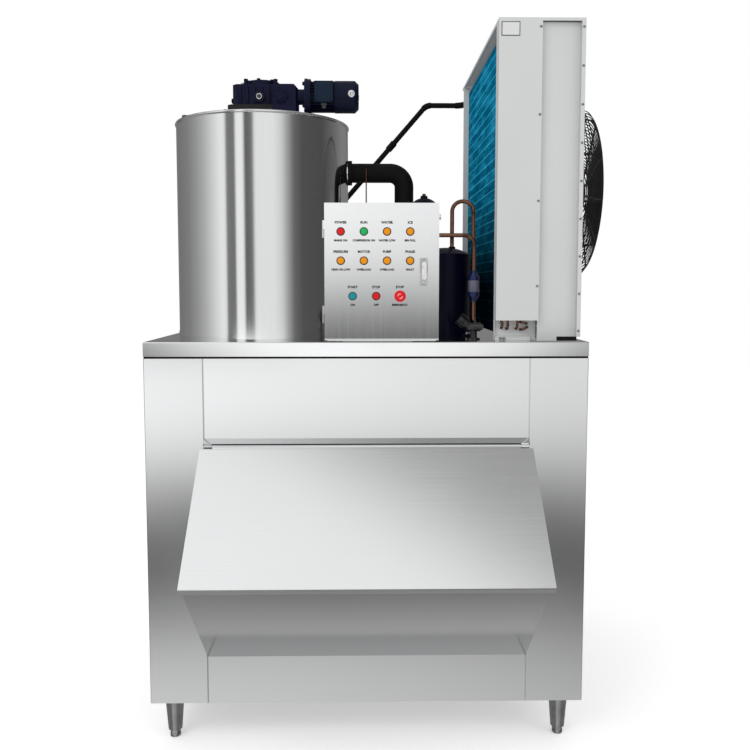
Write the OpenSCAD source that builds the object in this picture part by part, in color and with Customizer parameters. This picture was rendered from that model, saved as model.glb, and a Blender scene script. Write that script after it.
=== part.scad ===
// Flake ice machine: an insulated ice bin on legs that carries an ice drum with its geared motor,
// a control box, a compressor set and an upright air-cooled condenser.
// +X is the machine's right, +Y its back, +Z up, and the floor is at z = 0.

/* [Ice bin] */
// Width over the side walls
bin_w = 1550; // [1450:5:1750]
// Depth from the front columns to the back wall
bin_d = 1150; // [1120:5:1400]
// Height of the walls
bin_h = 1240; // [1150:5:1400]
// Thickness of the insulated walls
wall_t = 60; // [45:1:75]
// Width of each front column
column_w = 206; // [160:1:240]
// Height of the upper front panel
upper_panel_h = 280; // [220:1:320]
// Height of the lower front panel
lower_panel_h = 172; // [120:1:220]
// Edge chamfer of the folded panels
fold = 2.5; // [1:0.5:5]
// Height of the deck's folded edge
deck_edge_h = 50; // [40:1:70]
// Thickness of the deck sheet
deck_t = 3; // [2:0.5:5]
// Height of the recess between the deck and the walls
deck_recess_h = 7; // [4:1:12]
// Depth of that recess
deck_recess_d = 6; // [4:1:12]
// Width of each deck beam
beam_w = 60; // [40:1:80]
// Outside radius of the drain spigot
drain_r = 21; // [16:1:30]
// Wall of the drain spigot
drain_wall = 4; // [2:0.5:6]
// Length of the drain spigot below the floor
drain_len = 45; // [30:1:60]

/* [Legs and feet] */
// Height of the bin above the floor
leg_h = 158; // [140:1:200]
// Distance of each leg's axis from the side of the bin
leg_side = 70; // [60:1:110]
// Distance of each leg's axis from the front and the back of the bin
leg_inset = 70; // [60:1:110]
// Radius of the leg at its lower end
leg_r_low = 25; // [22:1:30]
// Radius of the leg at its upper end
leg_r_top = 35; // [32:1:42]
// Side of the leg's square fixing plate
leg_plate_w = 104; // [90:1:118]
// Thickness of that plate
leg_plate_t = 6; // [4:1:10]
// Radius of the foot
foot_r = 19; // [16:1:21]
// Height of the foot below its collar
foot_h = 24; // [18:1:30]
// Radius of the foot's screw
foot_screw_r = 8; // [6:1:12]
// Length of the foot's screw
foot_screw_len = 90; // [60:1:100]

/* [Hopper and door] */
// Slope of the door
door_slope = 44.7; // [42:0.1:47]
// Length of the door from its hinge to its lower edge
door_len = 523; // [480:1:540]
// Thickness of the door
door_t = 28; // [22:1:34]
// How far the door stands past the hopper on each side
door_over = 8; // [4:1:16]
// How far the door stands past the hopper's nose
door_lip = 6; // [3:1:14]
// Thickness of the hopper's walls
hopper_t = 25; // [16:1:32]
// How far the hinge stands in front of the panel
hinge_out = 24; // [22:1:30]
// How far the hinge hangs below the upper panel
hinge_drop = 26; // [24:1:34]
// Radius of the hinge knuckles and of the door's rolled edge
hinge_r = 7; // [6:0.5:8]
// Radius of the hinge pin
hinge_pin_r = 4; // [3:0.5:4.5]
// Length of the fixed hinge knuckle at each end
knuckle_len = 28; // [20:1:60]

/* [Ice drum] */
// Outside radius of the drum
drum_r = 329; // [310:1:345]
// Height of the drum
drum_h = 812; // [760:1:900]
// Gap between the drum and the left side of the bin
drum_side_gap = 46; // [30:1:60]
// Gap between the drum and the front of the bin
drum_front_gap = 71; // [55:1:90]
// Inside radius of the evaporator
evaporator_r = 260; // [245:1:268]
// Wall of the evaporator
evaporator_t = 15; // [10:1:20]
// Height of the drum's base ring
ring_h = 22; // [16:1:30]
// How far the base ring stands out from the jacket
ring_lip = 2; // [1:0.5:4]
// Radius of the rolled rim of the top cover
rim_r = 6; // [4:0.5:8]
// Thickness of the top cover
cover_t = 8; // [6:1:12]
// Radius of the main shaft
shaft_r = 25; // [20:1:28]
// Gap between the blade's teeth and the evaporator
blade_gap = 2; // [1:0.5:4]
// Number of teeth on the blade
tooth_n = 22; // [12:1:30]
// Radius of the ice outlet in the deck
outlet_r = 250; // [235:1:256]

/* [Drive] */
// Height of the gearbox stand
stand_h = 65; // [50:1:100]
// Width of the main gearbox
gearbox_w = 193; // [180:1:220]
// Depth of the main gearbox
gearbox_d = 200; // [180:1:230]
// Height of the main gearbox up to its shoulder
gearbox_h = 77; // [70:1:100]
// Radius of its raised bearing cover
gearbox_cap_r = 66; // [60:1:76]
// Width of the input gearbox
input_w = 94; // [80:1:104]
// Depth of the input gearbox
input_d = 60; // [56:1:72]
// Radius of the motor frame over its ribs
motor_r = 56; // [52:1:60]
// Length of the motor frame
motor_len = 88; // [84:1:120]
// Length of the fan cowl
cowl_len = 89; // [60:1:100]
// Radius of the motor flange
motor_flange_r = 66; // [62:1:76]

/* [Control box] */
// Width of the control box
case_w = 400; // [380:1:410]
// Height of the control box
case_h = 478; // [460:1:520]
// Depth of the control box with its door
case_d = 140; // [120:1:150]
// Distance of the door's face from the front of the bin
case_front = 34; // [28:1:45]
// Depth of the folded door
case_door_d = 18; // [14:1:24]
// Sheet thickness of the control box
case_sheet = 2; // [1.5:0.5:3]
// Height of the plinth under the control box
case_plinth_h = 4; // [3:1:8]
// Gap between the control box and the drum
case_drum_gap = 8; // [6:1:20]
// Radius of a lamp's bezel
bezel_r = 15; // [13:0.5:17]
// Spacing of the lamps across
lamp_pitch_x = 80.6; // [70:0.1:84]
// Spacing of the lamp rows
lamp_pitch_z = 101; // [90:1:110]
// Radius of the emergency head
mushroom_r = 20; // [18:0.5:22]
// Travel of the push buttons
press = 4; // [2:0.5:5]

/* [Compressor set] */
// Radius of the compressor shell
compressor_r = 98; // [85:1:104]
// Height of the compressor
compressor_h = 344; // [300:1:380]
// Gap between the compressor and the condenser
compressor_gap = 45; // [42:1:60]
// Radius of the liquid receiver
receiver_r = 48; // [40:1:60]
// Height of the liquid receiver
receiver_h = 555; // [480:1:600]
// Radius of the insulated suction line
suction_r = 37; // [30:0.5:40]
// Radius of the liquid line
liquid_r = 12; // [9:0.5:14]
// Radius of the copper lines
copper_r = 8; // [6:0.5:10]
// Radius of the filter drier
drier_r = 21; // [16:1:24]

/* [Condenser] */
// Width of the condenser
cond_w = 300; // [280:1:330]
// Depth of the condenser
cond_d = 1000; // [950:5:1050]
// Height of the condenser
cond_h = 1112; // [1000:1:1200]
// Distance of the condenser from the right side of the bin
cond_side_gap = 20; // [10:1:40]
// Distance of the condenser from the front of the bin
cond_front_gap = 42; // [30:1:60]
// Sheet thickness of the casing
cond_sheet = 2; // [1.5:0.5:3]
// Height of the roof's folded edge
roof_h = 10; // [8:1:30]
// Thickness of the fin pack
coil_t = 80; // [60:1:100]
// How far the fins lie inside the condenser's left edge
coil_recess = 22; // [15:1:30]
// Depth of the header cover
header_d = 50; // [44:1:70]
// Width of the header cover
header_w = 150; // [130:1:165]
// Height of the header cover's lower edge above the deck
header_low = 73; // [50:1:100]
// Number of fins drawn across the coil
fin_n = 90; // [60:1:110]
// Spacing of the coil tubes
tube_pitch = 38; // [32:1:50]
// Radius of the coil tubes
tube_r = 4.8; // [4:0.1:6]
// Height of the rubber pads
pad_h = 15; // [10:1:25]
// Width of a rubber pad
pad_w = 68; // [50:1:90]
// Inside radius of the fan ring
fan_ring_r = 322; // [290:1:330]
// Gap between the blade tips and the fan ring
fan_tip_gap = 10; // [6:1:20]
// Number of fan blades
blade_n = 5; // [4:1:7]
// Outside radius of the wire guard
guard_r = 341; // [338:1:360]
// Depth of the wire guard
guard_depth = 130; // [120:1:160]
// Radius of the guard's wire
wire_r = 2.2; // [1.8:0.1:3]
// Number of the guard's stays
stay_n = 12; // [6:2:16]

/* [Fits] */
// Radial clearance of a turning fit
run_fit = 0.05; // [0.02:0.01:0.1]
// Gap between parts that move past each other
slip = 0.4; // [0.3:0.1:1]

/* [Hidden] */
$fn = 64;

// Levels
bin_z1 = leg_h + bin_h;
deck_z = bin_z1 + deck_recess_h + deck_edge_h;
drum_z1 = deck_z + drum_h;
panel_z = bin_z1 - upper_panel_h;
open_half = bin_w / 2 - column_w;
hopper_z = leg_h + lower_panel_h;

// Door and hopper, in the plane across the machine
hinge_y = -hinge_out;
hinge_z = panel_z - hinge_drop;
slope_c = cos(door_slope);
slope_s = sin(door_slope);
down = [-slope_c, -slope_s];
outward = [-slope_s, slope_c];
door_gap = hinge_r + 3;
hinge_axis = [hinge_y, hinge_z];
rim_off = hinge_r - door_t - slip;
nose = hinge_axis + (door_len - door_lip) * down + rim_off * outward;
rim_at_face = hinge_z + rim_off / slope_c - hinge_y * slope_s / slope_c;
foot_of_hopper = [0, hopper_z];
under_dir = (nose - foot_of_hopper) / norm(nose - foot_of_hopper);
under_in = [under_dir.y, -under_dir.x];
nose_in = nose - hopper_t / (-(down * under_in)) * down;
door_low_y = hinge_y + min(
    door_len * down.x + (hinge_r - fold) * outward.x, (door_len - fold) * down.x + hinge_r * outward.x
);
knuckle_span = 2 * open_half - 8;
roll_len = knuckle_span - 2 * knuckle_len - 2;

// Drum, control box and condenser places
drum_x = -bin_w / 2 + drum_side_gap + drum_r;
drum_y = drum_front_gap + drum_r;
evaporator_ro = evaporator_r + evaporator_t;
cover_z = drum_z1 - rim_r - cover_t / 2;
case_back = case_front + case_d;
case_shell_y = case_front + case_door_d + 0.5;
case_reach = drum_r + ring_lip + case_drum_gap;
case_x = drum_x + sqrt(case_reach * case_reach - (drum_y - case_back) * (drum_y - case_back));
case_z = deck_z + case_plinth_h;
case_top = case_z + case_h;
cond_x1 = bin_w / 2 - cond_side_gap;
cond_x = cond_x1 - cond_w;
cond_y = cond_front_gap;
cond_y1 = cond_y + cond_d;
cond_z1 = deck_z + cond_h;
roof_z = cond_z1 - roof_h;
fan_y = cond_y + cond_d / 2;
fan_z = deck_z + cond_h / 2 + 12;
guard_x1 = cond_x1 + guard_depth;

// Drive places
stand_z = cover_z + cover_t / 2;
gearbox_z = stand_z + stand_h;
gearbox_x = drum_x - 102;
gearbox_y = drum_y - gearbox_d / 2;
gearbox_top = gearbox_z + gearbox_h;
input_x = gearbox_x + gearbox_w - 36;
input_y = gearbox_y - input_d;
motor_y = input_y + input_d / 2;
motor_z = gearbox_z + 22.5;
motor_x = input_x + input_w + 46;

// Compressor set places
compressor_x = cond_x - compressor_gap - compressor_r;
compressor_y = drum_y;
compressor_port_x = compressor_x - compressor_r - 9;
suction_z = drum_z1 - 179;
suction_bend = 55;
suction_x = compressor_port_x - suction_bend - 2;
suction_low_z = deck_z + 185;
drum_port_x = drum_x + drum_r + 12;
receiver_x = suction_x + suction_r + receiver_r + 6;
receiver_y = drum_y + 160;
copper_bend = 40;
copper_top_x = compressor_x + 26;
riser_x = copper_top_x + 2 * copper_bend + 4;
drier_x = riser_x - 8;
drier_y = compressor_y - 80;
drier_z = deck_z + 133;
drier_len = 120;
liquid_out_z = deck_z + 388;
feed_x = drum_x + 250;
feed_port_y = drum_y + sqrt(drum_r * drum_r - 250 * 250) + 26;
valve_reach = 72;
valve_gap = 8;
valve_x = max(compressor_x + 78, case_x + case_w + valve_reach + valve_gap);
valve_y = 140;
valve_z = deck_z + 45;
liquid_y = cond_y1 + 33;
liquid_z = cond_z1 - 70;
liquid_x = drum_x + 170;
liquid_low_z = drum_z1 - 365;
liquid_port_y = drum_y + sqrt(drum_r * drum_r - 170 * 170) + 18;

// Coil places
coil_x = cond_x + coil_recess;
coil_y = cond_y + header_d;
coil_y1 = cond_y1 - header_d;
coil_z = deck_z + pad_h + 8;
coil_z1 = roof_z - 24;
fin_pitch = (coil_y1 - coil_y - 2 * cond_sheet) / fin_n;
bend_n = floor((coil_z1 - coil_z - tube_pitch) / (2 * tube_pitch));

// The machine stands centred on its own outline
outline_x = (guard_x1 - bin_w / 2) / 2;
outline_y = (bin_d + door_low_y) / 2;

// Helpers
// Moves the bin's own axes to the centre of the machine's outline.
module stood() translate([-outline_x, -outline_y, 0]) children();

// Extrudes an outline drawn in Y and Z across the machine, centred on x = 0.
module across(width) translate([-width / 2, 0, 0]) rotate([90, 0, 90]) linear_extrude(width) children();

// Turns a shape drawn about Z so that its Z axis runs towards +X, +Y or the front.
module towards_x() rotate([0, 90, 0]) children();
module towards_y() rotate([-90, 0, 0]) children();
module towards_front() rotate([90, 0, 0]) children();

module tube(height, outer, inner) {
    difference() {
        cylinder(h = height, r = outer);
        translate([0, 0, -1]) cylinder(h = height + 2, r = inner);
    }
}

// A block with its four upright edges chamfered.
module chamfered_block(size, cut) {
    linear_extrude(size.z) polygon([
        [cut, 0], [size.x - cut, 0], [size.x, cut], [size.x, size.y - cut],
        [size.x - cut, size.y], [cut, size.y], [0, size.y - cut], [0, cut]
    ]);
}

// A cylinder with a domed top.
module domed(height, radius, dome_r) {
    rise = dome_r - sqrt(dome_r * dome_r - radius * radius);
    cylinder(h = height - rise, r = radius);
    intersection() {
        translate([0, 0, height - rise - 1]) cylinder(h = rise + 2, r = radius);
        translate([0, 0, height - dome_r]) sphere(r = dome_r);
    }
}

// A pipe along points, with true elbows.
function unit(v) = v / norm(v);
function beside(d) = abs(d.z) < 0.9 ? unit(cross([0, 0, 1], d)) : unit(cross([1, 0, 0], d));
function frame(x, y, z, at) = [
    [x.x, y.x, z.x, at.x], [x.y, y.y, z.y, at.y], [x.z, y.z, z.z, at.z], [0, 0, 0, 1]
];

module along(start, dir) {
    side = beside(dir);
    multmatrix(frame(side, cross(dir, side), dir, start)) children();
}

// Directions, corner angles and rolls along a run of points.
function leg_dir(points, i) = unit(points[i + 1] - points[i]);
function turn_at(points, i) = acos(leg_dir(points, i - 1) * leg_dir(points, i));
function trim_at(points, i, bend) =
    i == 0 || i == len(points) - 1 ? 0 : bend * tan(turn_at(points, i) / 2);
function inward(a, b) = unit(b - (a * b) * a);
function inward_at(points, i) = i >= len(points) - 1 ? beside(leg_dir(points, i - 1))
    : inward(leg_dir(points, i - 1), leg_dir(points, i));
function inward_after(points, i) = cos(turn_at(points, i)) * inward_at(points, i)
    - sin(turn_at(points, i)) * leg_dir(points, i - 1);
function signed_angle(a, b, axis) = atan2(cross(a, b) * axis, a * b);
function roll_at(points, i) =
    signed_angle(inward_after(points, i), inward_at(points, i + 1), leg_dir(points, i));

// Draws one straight leg along z, the elbow that bends it towards x, and the legs after it.
// With a swell, the elbows are sleeves that lap over the straight legs.
module pipe_leg(points, i, radius, bend, swell) {
    run = norm(points[i + 1] - points[i]) - trim_at(points, i, bend) - trim_at(points, i + 1, bend);
    lap = swell > 0 ? radius / 2 : 0;
    lap_before = i > 0 ? lap : 0;
    lap_after = i + 2 < len(points) ? lap : 0;
    translate([0, 0, -lap_before]) cylinder(h = run + lap_before + lap_after, r = radius);
    if (i + 2 < len(points)) translate([0, 0, run]) {
        turn = turn_at(points, i + 1);
        multmatrix([[-1, 0, 0, bend], [0, 0, 1, 0], [0, 1, 0, 0], [0, 0, 0, 1]])
            rotate_extrude(angle = turn) translate([bend, 0]) circle(r = radius + swell);
        translate([bend, 0, 0]) rotate([0, turn, 0]) translate([-bend, 0, 0])
            rotate([0, 0, roll_at(points, i + 1)]) pipe_leg(points, i + 1, radius, bend, swell);
    }
}

module pipe_run(points, radius, bend, swell = 0) {
    dir = leg_dir(points, 0);
    side = inward_at(points, 1);
    multmatrix(frame(side, cross(dir, side), dir, points[0])) pipe_leg(points, 0, radius, bend, swell);
}

// Ice bin
module bin_floor() {
    drain_x = bin_w / 2 - wall_t - 120;
    drain_y = bin_d - wall_t - 120;
    color("gainsboro") difference() {
        union() {
            translate([-bin_w / 2 + wall_t, wall_t, leg_h])
                cube([bin_w - 2 * wall_t, bin_d - 2 * wall_t, wall_t]);
            translate([drain_x, drain_y, leg_h - drain_len]) cylinder(h = drain_len + 1, r = drain_r);
        }
        translate([drain_x, drain_y, leg_h - drain_len - 1])
            cylinder(h = drain_len + wall_t + 2, r = drain_r - drain_wall);
    }
}

module bin_left_wall() {
    color("silver") translate([-bin_w / 2, 0, leg_h]) linear_extrude(bin_h) polygon([
        [fold, 0], [column_w - fold, 0], [column_w, fold], [column_w, wall_t], [wall_t, wall_t],
        [wall_t, bin_d], [fold, bin_d], [0, bin_d - fold], [0, fold]
    ]);
}

module bin_right_wall() {
    mirror([1, 0, 0]) bin_left_wall();
}

module bin_back_wall() {
    color("silver") translate([-bin_w / 2 + wall_t, bin_d - wall_t, leg_h])
        cube([bin_w - 2 * wall_t, wall_t, bin_h]);
}

module front_panel(height) {
    linear_extrude(height) polygon([
        [-open_half + fold, 0], [open_half - fold, 0], [open_half, fold], [open_half, wall_t],
        [-open_half, wall_t], [-open_half, fold]
    ]);
}

module upper_front_panel() {
    color("whitesmoke") translate([0, 0, panel_z]) front_panel(upper_panel_h);
}

module lower_front_panel() {
    color("silver") translate([0, 0, leg_h]) front_panel(lower_panel_h);
}

module hopper() {
    inner_z = hopper_z + hopper_t / under_in.y;
    cheek = [
        [wall_t, hopper_z], foot_of_hopper, nose, [0, rim_at_face], [wall_t, rim_at_face]
    ];
    trough = [[wall_t, hopper_z], foot_of_hopper, nose, nose_in, [0, inner_z], [wall_t, hopper_z + fold]];
    color("darkgray") union() {
        across(2 * open_half) polygon(trough);
        for (side = [-1, 1])
            translate([side * (open_half - hopper_t / 2), 0, 0]) across(hopper_t) polygon(cheek);
    }
}

// Places a door shape: x across, y down the slope from the hinge, z out of the door's face.
module at_door() {
    translate([0, hinge_y, hinge_z]) rotate([door_slope, 0, 0]) rotate([0, 0, 180]) children();
}

// The middle of one end knuckle: side is -1 for the left and 1 for the right.
module at_knuckle(side) translate([side * (knuckle_span - knuckle_len) / 2, 0, 0]) children();

module hinge_rail() {
    section = [
        [wall_t, rim_at_face], [wall_t, panel_z], [0, panel_z], [hinge_y + 2, hinge_z + hinge_r + 4],
        [hinge_y + hinge_r + 4, hinge_z + 1], [0, rim_at_face]
    ];
    web = [
        [hinge_y + 2, hinge_z + hinge_r + 4], [hinge_y, hinge_z + hinge_r], [hinge_y, hinge_z],
        [hinge_y + hinge_r + 4, hinge_z + 1], [hinge_y + hinge_r + 6, hinge_z + hinge_r + 6]
    ];
    color("lightgray") difference() {
        union() {
            across(2 * open_half) polygon(section);
            for (side = [-1, 1]) at_knuckle(side) {
                across(knuckle_len - 2) polygon(web);
                translate([-knuckle_len / 2, hinge_y, hinge_z])
                    towards_x() cylinder(h = knuckle_len, r = hinge_r);
            }
        }
        translate([-knuckle_span / 2 - 1, hinge_y, hinge_z])
            towards_x() cylinder(h = knuckle_span + 2, r = hinge_pin_r);
    }
}

module door_hinge_pin() {
    color("dimgray") translate([-knuckle_span / 2, hinge_y, hinge_z])
        towards_x() cylinder(h = knuckle_span, r = hinge_pin_r);
}

module bin_door() {
    low = hinge_r - door_t;
    section = [
        [door_gap, low], [door_len, low], [door_len, hinge_r - fold], [door_len - fold, hinge_r],
        [door_gap + fold, hinge_r], [door_gap, hinge_r - fold]
    ];
    color("whitesmoke") difference() {
        union() {
            at_door() across(2 * (open_half + door_over)) polygon(section);
            at_door() translate([-roll_len / 2 + 2, 0, -hinge_r + 1])
                cube([roll_len - 4, door_gap + 1, 2 * hinge_r - 2]);
            translate([-roll_len / 2, hinge_y, hinge_z]) towards_x() cylinder(h = roll_len, r = hinge_r);
        }
        translate([-knuckle_span / 2 - 1, hinge_y, hinge_z])
            towards_x() cylinder(h = knuckle_span + 2, r = hinge_pin_r + run_fit);
    }
}

module deck() {
    edge_z = bin_z1 + deck_recess_h;
    section = [
        [0, edge_z], [bin_d, edge_z], [bin_d, deck_z - fold], [bin_d - fold, deck_z], [fold, deck_z],
        [0, deck_z - fold]
    ];
    foot_w = bin_w - 2 * deck_recess_d;
    foot_d = bin_d - 2 * deck_recess_d;
    inner_w = foot_w - 2 * deck_t;
    inner_d = foot_d - 2 * deck_t;
    color("whitesmoke") difference() {
        union() {
            across(bin_w) polygon(section);
            translate([-foot_w / 2, deck_recess_d, bin_z1]) cube([foot_w, foot_d, deck_recess_h + 1]);
        }
        translate([-inner_w / 2, deck_recess_d + deck_t, bin_z1 - 1])
            cube([inner_w, inner_d, deck_z - deck_t - bin_z1 + 1]);
        translate([drum_x, drum_y, bin_z1]) cylinder(h = deck_z - bin_z1 + 1, r = outlet_r);
    }
}

module deck_beams() {
    span = bin_w - 2 * (deck_recess_d + deck_t) - 40;
    beam_off = outlet_r + beam_w / 2 + 20;
    color("slategray") for (y = [drum_y - beam_off, drum_y + beam_off, bin_d - wall_t - beam_w])
        translate([-span / 2, y - beam_w / 2, bin_z1]) cube([span, beam_w, deck_z - deck_t - bin_z1]);
}

// Legs and feet
module at_leg(side, end) {
    translate([
        side * (bin_w / 2 - leg_side), end < 0 ? leg_inset : bin_d - leg_inset, 0
    ]) children();
}

collar_h = 4;
leg_z = foot_h + collar_h;

module leg() {
    difference() {
        union() {
            translate([0, 0, leg_z]) cylinder(h = leg_h - leg_z, r1 = leg_r_low, r2 = leg_r_top);
            translate([-leg_plate_w / 2, -leg_plate_w / 2, leg_h - leg_plate_t])
                cube([leg_plate_w, leg_plate_w, leg_plate_t]);
        }
        translate([0, 0, leg_z - 1]) cylinder(h = foot_screw_len + 12, r = foot_screw_r + run_fit);
    }
}

module legs() {
    color("gray") for (side = [-1, 1], end = [-1, 1]) at_leg(side, end) leg();
}

module screw_foot(side, end) {
    pad_z = foot_h * 0.55;
    color("darkgray") at_leg(side, end) {
        rotate_extrude() polygon([
            [0, 0], [foot_r - 2, 0], [foot_r, 2], [foot_r, pad_z - 2], [foot_r - 2, pad_z], [0, pad_z]
        ]);
        translate([0, 0, pad_z]) cylinder(h = foot_h - pad_z, r = foot_r - 1, $fn = 6);
        translate([0, 0, foot_h]) cylinder(h = collar_h - slip, r = foot_r - 4);
        translate([0, 0, foot_h]) cylinder(h = collar_h + foot_screw_len, r = foot_screw_r);
    }
}

module foot_front_left() screw_foot(-1, -1);
module foot_front_right() screw_foot(1, -1);
module foot_rear_left() screw_foot(-1, 1);
module foot_rear_right() screw_foot(1, 1);

// Ice drum
module at_drum(z) translate([drum_x, drum_y, z]) children();

module drum_base_ring() {
    color("gray") at_drum(deck_z) tube(ring_h, drum_r + ring_lip, evaporator_ro + slip);
}

module drum_jacket() {
    z = deck_z + ring_h;
    height = cover_z - cover_t / 2 - z;
    color("lightgray") difference() {
        union() {
            at_drum(z) cylinder(h = height, r = drum_r);
            translate([drum_x, drum_y, suction_z])
                towards_x() cylinder(h = drum_port_x - drum_x, r = suction_r + 6);
            translate([liquid_x, drum_y, liquid_low_z])
                towards_y() cylinder(h = liquid_port_y - drum_y, r = liquid_r + 8);
            translate([feed_x, drum_y, deck_z + 75])
                towards_y() cylinder(h = feed_port_y - drum_y, r = copper_r + 6);
        }
        at_drum(z - 1) cylinder(h = height + 2, r = evaporator_ro + slip);
    }
}

module evaporator_wall() {
    color("gainsboro") at_drum(deck_z) tube(cover_z - cover_t / 2 - deck_z, evaporator_ro, evaporator_r);
}

module drum_cover() {
    rim_at = drum_r - rim_r + 4;
    color("silver") at_drum(0) difference() {
        union() {
            translate([0, 0, cover_z - cover_t / 2]) cylinder(h = cover_t, r = rim_at);
            translate([0, 0, cover_z]) rotate_extrude() translate([rim_at, 0]) circle(r = rim_r);
        }
        translate([0, 0, cover_z - cover_t]) cylinder(h = 2 * cover_t, r = shaft_r + 6);
        translate([0, 0, cover_z - 2 * rim_r]) cylinder(h = 2 * rim_r - cover_t / 2, r = drum_r + slip);
    }
}

bearing_z = deck_z + 30;
bearing_h = 32;
hub_h = 52;
journal_r = shaft_r - 5;

module lower_bearing() {
    color("dimgray") at_drum(bearing_z) difference() {
        union() {
            intersection() {
                translate([-22, -evaporator_r, 0]) cube([44, 2 * evaporator_r, bearing_h]);
                cylinder(h = bearing_h, r = evaporator_r - slip);
            }
            cylinder(h = hub_h, r = 2 * journal_r);
        }
        translate([0, 0, -1]) cylinder(h = hub_h + 2, r = journal_r + run_fit);
    }
}

arm_w = 36;
arm_h = 24;
arm_z = [bearing_z + hub_h + 60, deck_z + drum_h / 2, drum_z1 - 150];
blade_back_r = evaporator_r - blade_gap - 34;

module main_shaft() {
    top = gearbox_z + 50;
    color("silver") at_drum(0) {
        translate([0, 0, bearing_z - 4]) cylinder(h = hub_h + 8, r = journal_r);
        translate([0, 0, bearing_z + hub_h + slip])
            cylinder(h = top - bearing_z - hub_h - slip, r = shaft_r);
        for (z = arm_z) translate([-blade_back_r, -arm_w / 2, z]) cube([blade_back_r, arm_w, arm_h]);
        translate([0, 0, drum_z1 - 105]) rotate_extrude() polygon([
            [shaft_r - 1, 0], [120, 0], [150, 30], [144, 30], [117, 6], [shaft_r - 1, 6]
        ]);
    }
}

// The blade is a saw-toothed bar that stands on the arms' ends.
module ice_blade() {
    z0 = arm_z[0] - 30;
    z1 = arm_z[2] + arm_h + 30;
    pitch = (z1 - z0) / tooth_n;
    root = evaporator_r - blade_gap - 12;
    tip = evaporator_r - blade_gap - 1;
    teeth = [for (i = [0 : tooth_n - 1], k = [0 : 1]) [k == 0 ? root : tip, z0 + pitch * (i + 0.5 * k)]];
    color("gainsboro") at_drum(0) rotate([0, 0, 180]) translate([0, 7, 0]) towards_front()
        linear_extrude(14) polygon(concat([[blade_back_r, z0]], teeth, [[root, z1], [blade_back_r, z1]]));
}

// Drive
module gearbox_stand() {
    plate_t = 18;
    color("black") difference() {
        union() {
            at_drum(stand_z) cylinder(h = 12, r = 112);
            at_drum(stand_z) cylinder(h = stand_h - 1, r = 82);
            translate([gearbox_x - 18, gearbox_y - 12, gearbox_z - plate_t])
                chamfered_block([gearbox_w + 30, gearbox_d + 24, plate_t], 14);
        }
        at_drum(stand_z - 1) cylinder(h = stand_h - plate_t + 1, r = 60);
        at_drum(stand_z) cylinder(h = stand_h + 1, r = shaft_r + run_fit);
        translate([input_x - 3, gearbox_y - 40, gearbox_z - plate_t - 1])
            cube([input_w + 60, 40, plate_t + 2]);
    }
}

module main_gearbox() {
    rib_t = 7;
    rib_n = 6;
    rib_step = (gearbox_w - 60) / (rib_n - 1);
    color("midnightblue") difference() {
        union() {
            translate([gearbox_x, gearbox_y, gearbox_z])
                chamfered_block([gearbox_w, gearbox_d, gearbox_h], 16);
            at_drum(gearbox_top - 1) cylinder(h = 26, r = gearbox_cap_r);
            for (x = [-56, 56]) translate([drum_x + x, drum_y - 60, gearbox_top - 1]) cylinder(h = 29, r = 8);
            for (i = [0 : rib_n - 1], y = [gearbox_y - rib_t, gearbox_y + gearbox_d - 1])
                translate([gearbox_x + 30 + i * rib_step - rib_t / 2, y, gearbox_z + 8])
                    cube([rib_t, rib_t + 1, gearbox_h - 16]);
            translate([drum_x, gearbox_y + 4, gearbox_z + 30]) towards_front() cylinder(h = 14, r = 20);
        }
        at_drum(gearbox_z - 1) cylinder(h = 56, r = shaft_r + run_fit);
        translate([input_x - 0.1, input_y - 1, gearbox_z - 1])
            cube([input_w + 1, input_d + 1, gearbox_h + 2]);
    }
}

module input_gearbox() {
    cover_at = input_x + 28;
    input_h = 100;
    color("darkslateblue") union() {
        translate([input_x, input_y, gearbox_z - 36]) difference() {
            chamfered_block([input_w, input_d, input_h], 9);
            translate([input_w - 16, -1, input_h]) rotate([0, 45, 0]) cube([80, input_d + 2, 60]);
        }
        translate([cover_at, input_y + 1, motor_z]) towards_front() cylinder(h = 9, r = 26);
        translate([cover_at, input_y, motor_z]) towards_front() cylinder(h = 12, r = 17);
        translate([input_x + input_w - 1, motor_y, motor_z]) towards_x()
            cylinder(h = motor_x - input_x - input_w - 21, r = 28);
        translate([motor_x - 22, motor_y, motor_z]) towards_x() cylinder(h = 10, r = motor_flange_r);
    }
}

// The motor frame is a round barrel with cooling ribs, between its flange and the cowl.
module motor_frame() {
    rib_n = 28;
    core_r = motor_r - 8;
    color("midnightblue") translate([motor_x - 12, motor_y, motor_z]) towards_x() {
        cylinder(h = 12, r = motor_flange_r - 2);
        cylinder(h = motor_len + 12, r = core_r);
        for (i = [0 : rib_n - 1]) rotate([0, 0, i * 360 / rib_n])
            translate([core_r - 2, -1.5, 10]) cube([motor_r - core_r + 2, 3, motor_len + 1]);
    }
}

module terminal_box() {
    box = [72, 40, 78];
    proud = 9;
    low = 33.5;
    color("navy") translate([motor_x + 14, motor_y - motor_r - proud, motor_z - low]) difference() {
        chamfered_block(box, 5);
        translate([-1, motor_r + proud, low]) towards_x() cylinder(h = box.x + 2, r = motor_r);
    }
}

module fan_cowl() {
    slot_n = 8;
    cowl_r = motor_r + 2;
    color("midnightblue") translate([motor_x + motor_len, motor_y, motor_z]) towards_x() difference() {
        rotate_extrude() polygon([
            [0, 0], [cowl_r, 0], [cowl_r, cowl_len - 14], [cowl_r - 14, cowl_len], [0, cowl_len]
        ]);
        for (i = [0 : slot_n - 1]) rotate([0, 0, i * 360 / slot_n])
            translate([14, -3, cowl_len - 5]) cube([26, 6, 6]);
    }
}

// Compressor set
module suction_line() {
    color("black") pipe_run([
        [drum_port_x, drum_y, suction_z], [suction_x, drum_y, suction_z],
        [suction_x, drum_y, suction_low_z], [compressor_port_x, drum_y, suction_low_z]
    ], suction_r, suction_bend);
}

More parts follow.
